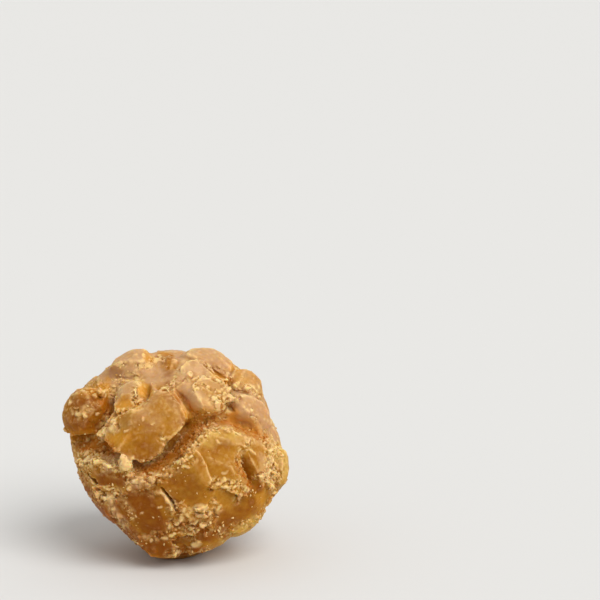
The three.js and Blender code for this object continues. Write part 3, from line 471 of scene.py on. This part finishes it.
# Each point of the lump gets its share of every band.
def paintLump(mesh):
    points = np.empty(len(mesh.vertices) * 3, np.float32)
    mesh.vertices.foreach_get("co", points)
    away = (points.reshape(-1, 3) - np.array(lumpMiddle)) / mm
    right, rise, out = (away @ np.array(way) for way in (acrossWay, upWay, outWay))
    height = away[:, 2] + brokenSide["middleHeight"]
    low, most = spread["foot"]
    front = out + np.clip(-rise - low, 0, most)
    seen = np.stack([right, rise], 1)

    def ramp(field, begins, full):
        return np.clip((field - begins) / (full - begins), 0, 1)

    def nearness(path, width):
        nearest = np.full(len(seen), np.inf)
        for start, end in zip(path, path[1:]):
            start, run = np.array(start), np.array(end) - np.array(start)
            along = np.clip((seen - start) @ run / (run @ run), 0, 1)
            nearest = np.minimum(nearest, np.linalg.norm(seen - start - along[:, None] * run, axis=1))
        return np.clip(spread["fade"] - nearest / width, 0, 1) * ramp(front, *spread["front"])

    marks = {"crumbBed": [], "dust": [], "chip": []}
    for path, width, crumbly, dusty in crumbBands.values():
        marks["crumbBed"].append(crumbly * nearness(path, width))
        marks["dust"].append(dusty * nearness(path, width * spread["dustWider"]))
    for across, up, length, width, turn in sum(placedChips.values(), []):
        way = np.array((math.cos(math.radians(turn)), math.sin(math.radians(turn))))
        end = way * max(length - width, spread["chipShortest"]) / 2
        path = [(across, up) - end, (across, up) + end]
        marks["chip"].append(nearness(path, width * spread["chipWidth"]))
    marks["crumbBed"] += [spread["chipBed"] * chip for chip in marks["chip"]]
    tones = {"amber": amberGlowBands, "yellow": yellowGlowBands, "glow": paintedGlowBands, "brown": brownAndShadeBands,
             "cleft": cleftBands, "skin": skinBands, "powder": powderBands, "soft": softBands,
             "groove": grooveBands}
    for label, bands in tones.items():
        marks[label] = [share * nearness(path, width) for path, width, share in bands.values()]
    share, whole = spread["back"]
    back = np.clip(share - front / whole, 0, 1)
    marks["back"] = [back]
    share, *heights = spread["footSoft"]
    marks["soft"].append(share * back * ramp(height, *heights[0]) * ramp(height, *heights[1]))
    everywhere, more, lower, forward = spread["strewn"]
    marks["strewn"] = [everywhere + more * ramp(rise, *lower) * ramp(out, *forward)]
    for label, found in marks.items():
        strongest = np.max(found, axis=0).astype(np.float32)
        mesh.attributes.new(label, "FLOAT", "POINT").data.foreach_set("value", strongest)


lump = {
    "voxel": 0.25,         # mm, as all sizes and depths
    "Filling": 360,        # passes that fill the soft gaps
    "Rounding": 1,         # passes over all edges
    "Swell Size": 6.0,
    "Swell Depth": 0.6,
    "Grain Size": 1.1,
    "Grain Depth": 0.35,
    "Ragged Size": 2.8,    # outlines shifted about sideways
    "Ragged Depth": 1.8,
    "Chip Size": 2.0,      # crumbly places
    "Chip Depth": 0.6,
    "Grit Size": 0.95,
    "Grit Depth": 0.3,
    "Seed": 3.0,
    "triangles": 196000,
    "merge": 0.001,        # points nearer than this are one
    "creaseAngle": 28,     # steeper edges between faces stay sharp, which makes crumbs look broken
}
# How far a point stands out of its neighbourhood: passes over which that is taken, and the heights
# in mm at which the mark begins and is full. Below zero it lies in a hollow.
reliefs = {
    "crack": (60, -0.2, -1.2),
    "rim": (17, 0.06, 0.28),
    "hollow": (130, -0.2, -1.5),
    "crest": (9, 0.01, 0.12),
    "crevice": (9, -0.015, -0.12),
}
# Patches that are crumbly, worn, pressed or dusty: size in mm, detail, where in the noise they begin
# and are full, and their values there.
patchPatterns = {
    "rimPatches": (4.5, 2.0, 0.45, 0.6, 0.0, 1.0),
    "bed": (2.2, 2.0, 0.36, 0.52, 0.0, 1.0),
    "worn": (8, 3.0, 0.5, 0.62, 0.0, 1.0),
    "pressed": (9, 4.0, 0.38, 0.6, 0.9, 0.1),
    "settled": (5, 3.0, 0.3, 0.7, -0.35, 0.35),
}
# The detail of the patterns that shape the skin.
reliefDetail = {"Swell": 1.5, "Grain": 3.0, "Ragged": 2.5, "Chip": 1.0, "Grit": 1.0}
# Where one mark holds another back: from where to where, and the shares it leaves there.
heldBack = {
    "hollowByBack": (0.0, 1.0, 0.5, 0.9),
    "hollowBySoft": (0.0, 0.6, 1.0, 0.0),
    "crumblyByChip": (0.0, 1.0, 1.0, 0.15),
    "outwardByCrumbly": (0.0, 1.0, -0.85, 0.0),
    "dustByBare": (0.2, 0.9, 1.0, 0.2),
    "smearByBare": (0.0, 0.8, 1.0, 0.2),
    "crestByFacing": (-0.25, 0.3, 0.0, 1.0),
}
skinShares = {
    "crackFill": 0.3,      # of the cracks round the back
    "wornCrumbly": 0.7,
    "rimBlur": 6,          # passes that widen the crumbly rims
    "edge": (0.1, 0.9),    # of the rims, where they begin to turn pale and are pale
    "footFlat": (0.3, 3.0),  # mm up, where the relief begins and is full
    "seedStep": 5.3,       # from one pattern to the next
    "roughness": 0.55,
}
# Each crumbly cell: how far its outline bends and how much it leans, the crease round it, and the
# height that leaves the skin where it was.
cells = {"bend": 0.6, "lean": 2.6, "crease": (0.0, 0.14, -0.3, 0.0), "even": {"Chip": 0.5, "Grit": 0.45}}


def makeLumpTree():
    sizes = {"Filling": "Int", "Rounding": "Int", "Seed": "Float", "Material": "Material"}
    for label in reliefDetail:
        sizes[label + " Size"] = sizes[label + " Depth"] = "Float"
    tree, given, result = newTree("pressed and broken skin", sizes)
    add = partial(addNode, tree)
    place, facing = add("InputPosition"), add("InputNormal")
    height = add("SeparateXYZ", [place])
    upward = add("SeparateXYZ", [facing]).outputs["Z"]
    lowest, free = skinShares["footFlat"]
    standFree = add("MapRange", [height.outputs["Z"], lowest * mm, free * mm])  # the foot stays flat
    marks = {label: add("InputNamedAttribute", [label])
             for label in ("crumbBed", "dust", "chip", "brown", "cleft", "skin", "soft", "groove", "back")}

    # Each pattern is noise of its own seed.
    sizeAndDetail = {label: (row[0] * mm, row[1]) for label, row in patchPatterns.items()}
    sizeAndDetail.update({label: (given[label + " Size"], detail) for label, detail in reliefDetail.items()})
    patterns = {}
    for order, (label, (size, detail)) in enumerate(sizeAndDetail.items()):
        seed = add("Math", [given["Seed"], order * skinShares["seedStep"]], "ADD")
        scale = add("Math", [1.0, size], "DIVIDE")
        patterns[label] = add("TexNoise", {"Vector": place, "W": seed, "Scale": scale, "Detail": detail,
                              "Roughness": skinShares["roughness"]}, noise_dimensions="4D")
    patches = {label: add("MapRange", [patterns[label], *row[2:]]) for label, row in patchPatterns.items()}

    def relief(label):
        passes, begins, full = reliefs[label]
        around = add("BlurAttribute", [place, passes], data_type="FLOAT_VECTOR")
        away = add("VectorMath", [place, around], "SUBTRACT")
        standing = add("VectorMath", [away, facing], "DOT_PRODUCT").outputs["Value"]
        return add("MapRange", [standing, begins * mm, full * mm])

    def keep(skin, label, field):  # later steps read it as it is now
        skin = add("StoreNamedAttribute", {"Geometry": skin, "Name": label, "Value": field})
        marks[label] = add("InputNamedAttribute", [label])
        return skin

    def pushOut(skin, distance):
        outward = add("VectorMath", [facing, distance], "SCALE")
        return add("SetPosition", {"Geometry": skin, "Offset": outward})

    # Gaps between petals and the cracks round the back are half filled, edges are rounded a little,
    # and cracks are pressed in.
    def fillGaps(skin):
        filled = relief("crack")
        for share in (marks["back"], skinShares["crackFill"]):
            filled = add("Math", [filled, share], "MULTIPLY")
        filled = add("Math", [marks["soft"], filled], "MAXIMUM")
        for passes in ([given["Filling"], filled], [given["Rounding"]]):
            evened = add("BlurAttribute", [place, *passes], data_type="FLOAT_VECTOR")
            skin = add("SetPosition", {"Geometry": skin, "Position": evened})
        return pushOut(skin, add("Math", [marks["groove"], -mm], "MULTIPLY"))

    # It is crumbly in patches along rims, in hollows, in beds of crumbs and in worn places on the
    # back, but placed chips stay nearly whole.
    def markCrumbly(skin):
        for label in ("rim", "hollow"):
            skin = keep(skin, label, relief(label))
        skin = keep(skin, "worn", add("Math", [patches["worn"], marks["back"]], "MULTIPLY"))
        wideRim = add("BlurAttribute", [marks["rim"], skinShares["rimBlur"]])
        hollow = add("MapRange", [marks["back"], *heldBack["hollowByBack"]])
        hollow = add("Math", [marks["hollow"], hollow], "MULTIPLY")
        crumbly = add("Math", [marks["worn"], skinShares["wornCrumbly"]], "MULTIPLY")
        for mark, share in ((wideRim, patches["rimPatches"]), (marks["crumbBed"], patches["bed"]),
                            (hollow, add("MapRange", [marks["soft"], *heldBack["hollowBySoft"]]))):
            more = add("Math", [mark, share], "MULTIPLY")
            crumbly = add("Math", [crumbly, more], "MAXIMUM")
        whole = add("MapRange", [marks["chip"], *heldBack["crumblyByChip"]])
        skin = keep(skin, "crumbly", add("Math", [crumbly, whole], "MULTIPLY"))
        for label, painted, mark, patch in (("dust", "dust", "worn", "bed"),
                                            ("pressed", "skin", "back", "pressed")):
            more = add("Math", [marks[mark], patches[patch]], "MULTIPLY")
            skin = keep(skin, label, add("Math", [marks[painted], more], "MAXIMUM"))
        return skin

    # The whole skin swells and is grainy, and its outlines are pushed about along it.
    def pushAbout(skin):
        shift = add("VectorMath", [patterns["Ragged"].outputs["Color"], noiseMiddle], "SUBTRACT")
        shift = add("VectorMath", [shift, given["Ragged Depth"]], "SCALE")
        outward = add("VectorMath", [shift, facing], "DOT_PRODUCT").outputs["Value"]
        flatter = add("MapRange", [marks["crumbly"], *heldBack["outwardByCrumbly"]])
        outward = add("Math", [outward, flatter], "MULTIPLY")
        for label in ("Swell", "Grain"):
            wave = add("Math", [patterns[label], 0.5], "SUBTRACT")
            wave = add("Math", [wave, given[label + " Depth"]], "MULTIPLY")
            outward = add("Math", [outward, wave], "ADD")
        outward = add("VectorMath", [facing, outward], "SCALE")
        shift = add("VectorMath", [shift, outward], "ADD")
        shift = add("VectorMath", [shift, standFree], "SCALE")
        return add("SetPosition", {"Geometry": skin, "Offset": shift})

    # Crumbly places break into chips, and the chips into grit: each cell of the pattern has its own
    # height and slope, with a crease round it.
    def breakUp(skin, label):
        scale = add("Math", [1.0, given[label + " Size"]], "DIVIDE")
        bend = add("Math", [given[label + " Size"], cells["bend"]], "MULTIPLY")
        bend = add("VectorMath", [patterns[label].outputs["Color"], bend], "SCALE")
        at = add("VectorMath", [place, bend], "ADD")
        cell = add("TexVoronoi", {"Vector": at, "Scale": scale}, feature="F1")
        edge = add("TexVoronoi", {"Vector": at, "Scale": scale}, feature="DISTANCE_TO_EDGE")
        crease = add("MapRange", [edge, *cells["crease"]])
        fromMiddle = add("VectorMath", [at, cell.outputs["Position"]], "SUBTRACT")
        lean = add("VectorMath", [cell.outputs["Color"], noiseMiddle], "SUBTRACT")
        slope = add("VectorMath", [fromMiddle, lean], "DOT_PRODUCT").outputs["Value"]
        for share in (scale, cells["lean"]):
            slope = add("Math", [slope, share], "MULTIPLY")
        level = add("SeparateXYZ", [cell.outputs["Color"]])
        level = add("Math", [level, cells["even"][label]], "SUBTRACT")
        for more in (slope, crease):
            level = add("Math", [level, more], "ADD")
        for share in (given[label + " Depth"], marks["crumbly"], standFree):
            level = add("Math", [level, share], "MULTIPLY")
        return pushOut(skin, level)

    def keepAboveFloor(skin):
        above = add("Math", [height.outputs["Z"], 0.0], "MAXIMUM")
        above = add("CombineXYZ", [height.outputs["X"], height.outputs["Y"], above])
        return add("SetPosition", {"Geometry": skin, "Position": above})

    # What the material shows: up-facing faces paled by settled dust and by painted light from above, pale
    # crests that are dust and a painted highlight, and dark crevices that are painted shade. Dense and
    # freshly broken places keep less of the dust.
    def markLooks(skin):
        bare = add("Math", [marks["cleft"], marks["brown"]], "MAXIMUM")
        dusted = add("MapRange", [bare, *heldBack["dustByBare"]])
        # Crests facing up are painted pale: dust on the grains, and a painted highlight.
        crest = relief("crest")
        for share in (add("MapRange", [upward, *heldBack["crestByFacing"]]), dusted):
            crest = add("Math", [crest, share], "MULTIPLY")
        edge = add("MapRange", [marks["rim"], *skinShares["edge"]])
        shown = {
            "settled": add("Math", [upward, patches["settled"]], "ADD"),
            "crest": crest,
            "crevice": relief("crevice"),
            "edge": add("Math", [edge, dusted], "MULTIPLY"),
            "smeared": add("MapRange", [bare, *heldBack["smearByBare"]]),
        }
        for label, field in shown.items():
            skin = keep(skin, label, field)
        return skin

    skin = pushAbout(markCrumbly(fillGaps(given["Geometry"])))
    skin = keepAboveFloor(breakUp(breakUp(skin, "Chip"), "Grit"))
    endTree(tree, markLooks(skin), given, result)
    return tree


# Only the one skin is kept, without the few flakes that evening out and thinning leave loose.
def dropLooseBits(mesh):
    skin = bmesh.new()
    skin.from_mesh(mesh)
    bmesh.ops.dissolve_degenerate(skin, dist=lump["merge"] * mm, edges=skin.edges)
    left, largest = set(skin.verts), set()
    while left:
        island, edge = set(), {left.pop()}
        while edge:
            island |= edge
            edge = {line.other_vert(vert) for vert in edge for line in vert.link_edges} - island
        left -= island
        largest = max(largest, island, key=len)
    loose = [vert for vert in skin.verts if vert not in largest]
    bmesh.ops.delete(skin, geom=loose, context="VERTS")
    skin.to_mesh(mesh)
    skin.free()


def makeLump(material):
    body = bmesh.new()
    body.from_mesh(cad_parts["jaggery_block"].data)
    bmesh.ops.remove_doubles(body, verts=body.verts, dist=lump["merge"] * mm)
    mesh = bpy.data.meshes.new("lump")
    body.to_mesh(mesh)
    body.free()
    piece = putInScene("jaggery_lump", mesh)
    addChips(piece, material)
    even = piece.modifiers.new("even skin", "REMESH")
    even.mode = "VOXEL"
    even.voxel_size = lump["voxel"] * mm
    piece.data = plainMesh(piece)
    piece.modifiers.clear()
    print("lump evened out:", len(piece.data.polygons), "faces")
    paintLump(piece.data)
    sizes = {name: value * mm if name.endswith(("Size", "Depth")) else value for name, value in lump.items()}
    piece.data = runTree(piece, makeLumpTree(), {**sizes, "Material": material})
    triangles = sum(len(face.vertices) - 2 for face in piece.data.polygons)
    if triangles > lump["triangles"]:
        thin = piece.modifiers.new("thin flat areas", "DECIMATE")
        thin.ratio = lump["triangles"] / triangles
        piece.data = plainMesh(piece)
        piece.modifiers.clear()
    dropLooseBits(piece.data)
    piece.data.shade_smooth()
    piece.data.set_sharp_from_angle(angle=math.radians(lump["creaseAngle"]))
    left = sum(len(face.vertices) - 2 for face in piece.data.polygons)
    print("lump finished:", triangles, "triangles thinned to", left)
    return piece


# Loose crumbs: many where it is dusty, and a few strays in clusters on the plates. Density is how
# many lie on a square mm at most, sizes are in mm and shares of them.
looseCrumbs = {
    "crumbs_fine": {"Density": 0.45, "Smallest": 0.1, "Largest": 0.5, "Flatness": 0.6, "Sink": 0.0,
                    "Clustered": 0.0, "Seed": 5, "where": "dust"},
    "crumbs_stray": {"Density": 0.8, "Smallest": 0.07, "Largest": 0.5, "Flatness": 0.5, "Sink": -0.1,
                     "Clustered": 1.0, "Seed": 12, "where": "strewn"},
}
crumbRules = {
    "clusters": (3.2, 2.0, 0.46, 0.66),  # size, detail, where in the noise they begin and are full
    "aboveFoot": (0.6, 0.8),  # where they begin and are full
    "mostSmall": 3.0,      # the power that makes most of them small
    "narrow": 0.8,
    "uneven": 2.4,
    "anyTurn": 6.3,        # radians
    "chanceSeed": 77,
    "toneSeed": 31,
}


def makeCrumbs(name, base, material):
    crumbs = looseCrumbs[name]
    sizes = {label: "Int" if label == "Seed" else "Float" for label in crumbs if label != "where"}
    tree, given, result = newTree(name, {**sizes, "Material": "Material"})
    add = partial(addNode, tree)
    points = add("DistributePointsOnFaces", {"Mesh": given["Geometry"], "Density": given["Density"],
                 "Seed": given["Seed"]})
    place = add("InputPosition")
    size, detail, *ends = crumbRules["clusters"]
    noise = add("TexNoise", {"Vector": place, "Scale": 1 / (size * mm), "Detail": detail})
    clusters = add("MapRange", [noise, *ends])
    clusters = add("Mix", [given["Clustered"], 1.0, clusters])
    height = add("SeparateXYZ", [place]).outputs["Z"]
    clear = add("MapRange", [height, *(up * mm for up in crumbRules["aboveFoot"])])
    share = add("InputNamedAttribute", [crumbs["where"]])
    for part in (clusters, clear):
        share = add("Math", [share, part], "MULTIPLY")
    chance, size, tone = (add("RandomValue", {"Seed": seed})
                          for seed in (crumbRules["chanceSeed"], given["Seed"], crumbRules["toneSeed"]))
    bare = add("Compare", [chance, share], "GREATER_THAN")
    kept = add("DeleteGeometry", {"Geometry": points, "Selection": bare}, domain="POINT")

    size = add("Math", [size, crumbRules["mostSmall"]], "POWER")
    size = add("MapRange", [size, 0.0, 1.0, given["Smallest"], given["Largest"]])
    stretch = add("CombineXYZ", [1.0, crumbRules["narrow"], given["Flatness"]])
    scale = add("VectorMath", [stretch, size], "SCALE")
    turn = add("RandomValue", {"Max": [crumbRules["anyTurn"]] * 3}, data_type="FLOAT_VECTOR")
    outward = add("Math", [size, given["Sink"]], "MULTIPLY")
    outward = add("VectorMath", [points.outputs["Normal"], outward], "SCALE")
    kept = add("SetPosition", {"Geometry": kept, "Offset": outward})
    shapes = addChipShapes(tree, 0, crumbRules["uneven"])
    made = add("InstanceOnPoints", {"Points": kept, "Instance": shapes, "Pick Instance": True,
               "Rotation": turn, "Scale": scale})
    made = add("StoreNamedAttribute", {"Geometry": made, "Name": "tone", "Value": tone}, domain="INSTANCE")
    endTree(tree, made, given, result)

    piece = putInScene(name, base.data.copy())
    inMetres = {**crumbs, "Density": crumbs["Density"] / mm ** 2, "Smallest": crumbs["Smallest"] * mm,
                "Largest": crumbs["Largest"] * mm}
    piece.data = runTree(piece, tree, {**inMetres, "Material": material})
    print(name, len(piece.data.polygons), "faces")
    return piece


def newMaterial(name, finish):
    material = bpy.data.materials.new(name)
    material.use_nodes = True
    shader = material.node_tree.nodes["Principled BSDF"]
    for label, value in finish.items():
        shader.inputs[label].default_value = value
    return material, shader


# Set jaggery: dense, waxy sugar that light goes a little way into, so thin rims glow amber and clean faces
# are a deep brown.
# That glow is also painted on, and the brown is deepened into painted shade in hollows, crevices and faces
# turned away.
# Dust and crumbs of it are pale, and the pressed skin is dull.
massColours = {"dark": "#985A0C", "light": "#AE761E", "flecks": "#BA882E"}
raggedMarks = ("yellow", "amber", "glow", "brown", "cleft", "powder")  # their borders are broken up
massLayers = [  # mark, where it begins and is full, its most, size of its patches and its colour
    ("pressed", 0.15, 0.85, 0.9, 0, "#B88A64"),
    ("pressed", 0.3, 1.0, 0.4, 3.5, "#A87A48"),
    ("worn", 0.0, 1.0, 0.7, 3.0, "#B67E2C"),
    # Up-facing faces turn paler: settled dust, and painted light from above.
    ("settled", 0.35, 1.1, 0.6, 0, "#C8A074"),
    # Yellow of thin rims, partly a painted glow of light coming through them.
    ("yellow", 0.2, 0.9, 0.8, 0, "#C49C4A"),
    # Painted glow: amber where light would come through thin places.
    ("amber", 0.2, 0.9, 0.9, 0, "#C6841A"),
    # Deep brown of the dense inside, and painted shade where it lies on faces turned down or away.
    ("brown", 0.2, 0.9, 0.9, 0, "#844406"),
    # Painted shade: darker in hollows.
    ("hollow", 0.0, 1.0, 0.8, 0, "#945208"),
    ("cleft", 0.2, 0.9, 0.9, 0, "#AA6208"),
    # Painted glow: undersides of petals made bright as if lit through.
    ("glow", 0.2, 0.9, 0.55, 0, "#E4A444"),
    ("smeared", 0.0, 1.0, 0.3, 1.0, "#C4943E"),
    ("powder", 0.1, 0.9, 0.45, 0, "#D8B284"),
    ("dust", 0.1, 0.8, 0.7, 1.6, "#DCB674"),
    ("chip", 0.2, 0.9, 0.75, 0, "#E2C084"),
    ("edge", 0.0, 1.0, 0.65, 2.0, "#DCB87C"),
    # Pale crests: dust caught on raised grains, and a painted highlight where they face up.
    ("crest", 0.0, 1.0, 0.7, 0, "#EACB90"),
    # Painted shade: darker in fine crevices.
    ("crevice", 0.0, 1.0, 0.4, 0, "#96560E"),
]
# Patterns of the sugar: size in mm, detail, where in the noise they begin and are full, and their
# values there.
massPatterns = {
    "cloud": (11, 3.0, 0.35, 0.65, 0.0, 1.0),
    "flecks": (2.4, 4.0, 0.45, 0.75, 0.0, 0.4),
    "ragged": (2.6, 5.0, 0.3, 0.7, -0.3, 0.3),
}
massPatches = (4.0, 0.42, 0.64)  # detail of a layer's patches, and where they begin and are full
massFinish = {
    "IOR": 1.5,
    "Specular IOR Level": 0.06,  # waxy but dusted, so it hardly shines
    "Subsurface Weight": 0.8,
    "Subsurface Radius": (1.0, 0.45, 0.15),  # red goes furthest
}
# Where it is crumbly it is duller, and light goes less deep.
crumblyFinish = {"Roughness": (0.0, 1.0, 0.42, 0.8), "Subsurface Scale": (0.0, 0.6, 1.6 * mm, 0.6 * mm)}
# Grains of sugar, in mm and shares. Real ones are finer: these are coarse enough to show.
massGrain = {"size": 0.6, "depth": 0.12, "detail": 5.0, "strength": 0.6}


def jaggeryMass():
    material, shader = newMaterial("set jaggery", massFinish)
    tree = material.node_tree
    add = partial(addNode, tree)
    place = add("TexCoord").outputs["Object"]
    patterns = {}
    for label, (size, detail, *ranges) in massPatterns.items():
        noise = add("TexNoise", {"Vector": place, "Scale": 1 / (size * mm), "Detail": detail})
        patterns[label] = add("MapRange", [noise, *ranges])
    dark, light, pale = (linearColour(massColours[label]) for label in ("dark", "light", "flecks"))
    body = add("Mix", [patterns["cloud"], dark, light], data_type="RGBA")
    body = add("Mix", [patterns["flecks"], body, pale], data_type="RGBA")
    patchDetail, patchLow, patchHigh = massPatches
    for mark, low, high, most, patches, colour in massLayers:
        share = add("Attribute", attribute_name=mark).outputs["Fac"]
        if mark in raggedMarks:
            share = add("Math", [share, patterns["ragged"]], "ADD")
        share = add("MapRange", [share, low, high, 0.0, most])
        if patches:
            noise = add("TexNoise", {"Vector": place, "Scale": 1 / (patches * mm), "Detail": patchDetail})
            patch = add("MapRange", [noise, patchLow, patchHigh])
            share = add("Math", [share, patch], "MULTIPLY")
        body = add("Mix", [share, body, linearColour(colour)], data_type="RGBA")
    grain = add("TexNoise", {"Vector": place, "Scale": 1 / (massGrain["size"] * mm),
                "Detail": massGrain["detail"]})
    bump = add("Bump", {"Height": grain, "Strength": massGrain["strength"],
               "Distance": massGrain["depth"] * mm})
    linked = {"Base Color": body.outputs["Result"], "Normal": bump.outputs[0]}
    crumbly = add("Attribute", attribute_name="crumbly").outputs["Fac"]
    for label, row in crumblyFinish.items():
        linked[label] = add("MapRange", [crumbly, *row]).outputs[0]
    for label, value in linked.items():
        tree.links.new(value, shader.inputs[label])
    return material


# Loose crumbs of the same sugar: paler and duller, because each is full of fine grains.
crumbColours = {"dark": "#B98236", "light": "#E8C88C"}
crumbFinish = {"Roughness": 0.7, "IOR": 1.5, "Specular IOR Level": 0.1, "Subsurface Weight": 0.3,
               "Subsurface Radius": (1.0, 0.6, 0.3), "Subsurface Scale": 0.4 * mm}


def crumbSugar():
    material, shader = newMaterial("jaggery crumb", crumbFinish)
    tree = material.node_tree
    tone = addNode(tree, "Attribute", attribute_name="tone").outputs["Fac"]
    dark, light = (linearColour(crumbColours[label]) for label in ("dark", "light"))
    colour = addNode(tree, "Mix", [tone, dark, light], data_type="RGBA")
    tree.links.new(colour.outputs["Result"], shader.inputs["Base Color"])
    return material


looseSugar = crumbSugar()
jaggeryLump = makeLump(jaggeryMass())
pieces = [jaggeryLump] + [makeCrumbs(name, jaggeryLump, looseSugar) for name in looseCrumbs]
print("pieces made")

floor = {"reach": 12000, "colour": "#D8D7D4", "roughness": 0.9}


def makeFloor():
    mesh = bpy.data.meshes.new("floor")
    reach = floor["reach"] * mm
    corners = [(-reach, -reach, 0), (reach, -reach, 0), (reach, reach, 0), (-reach, reach, 0)]
    mesh.from_pydata(corners, [], [(0, 1, 2, 3)])
    finish = {"Base Color": linearColour(floor["colour"]), "Roughness": floor["roughness"]}
    mesh.materials.append(newMaterial("matt white card", finish)[0])  # dull, so nothing shows in it
    putInScene("floor", mesh)


# A broad soft light from above on the right, in an evenly lit white room.
lights = {"keyFrom": (0.6, -0.88, 1.08), "keyStrength": 2.5, "keySpread": 45, "room": 0.62}


def makeLights():
    key = bpy.data.lights.new("key softbox", "SUN")
    key.energy = lights["keyStrength"]
    key.angle = math.radians(lights["keySpread"])
    piece = putInScene("key softbox", key)
    piece.rotation_euler = Vector(lights["keyFrom"]).to_track_quat("Z", "Y").to_euler()
    room = bpy.data.worlds.new("white room")
    room.use_nodes = True
    glow = room.node_tree.nodes["Background"]
    glow.inputs["Color"].default_value = (1, 1, 1, 1)
    glow.inputs["Strength"].default_value = lights["room"]
    bpy.context.scene.world = room
    bpy.context.scene.view_settings.view_transform = "Standard"


# The lump stands low on the left of the view, which is 600 units square, each 0.2807 mm there.
view = {"lens": 135, "sensor": 36, "size": 600, "unit": 0.2807, "right": 126.1, "up": 152.6}


def makeCamera():
    camera = bpy.data.cameras.new("camera")
    camera.lens = view["lens"]
    camera.sensor_width = view["sensor"]
    piece = putInScene("camera", camera)
    distance = view["size"] * view["unit"] * camera.lens / camera.sensor_width
    aim = placeSquareOn(view["right"] * view["unit"], view["up"] * view["unit"])
    piece.location = placeSquareOn(0, 0, distance)
    piece.rotation_euler = (aim - piece.location).to_track_quat("-Z", "Y").to_euler()
    bpy.context.scene.camera = piece


makeFloor()
makeLights()
makeCamera()
print("floor, light and camera set")

for piece in pieces:
    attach(piece, "root")
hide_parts("jaggery_block")
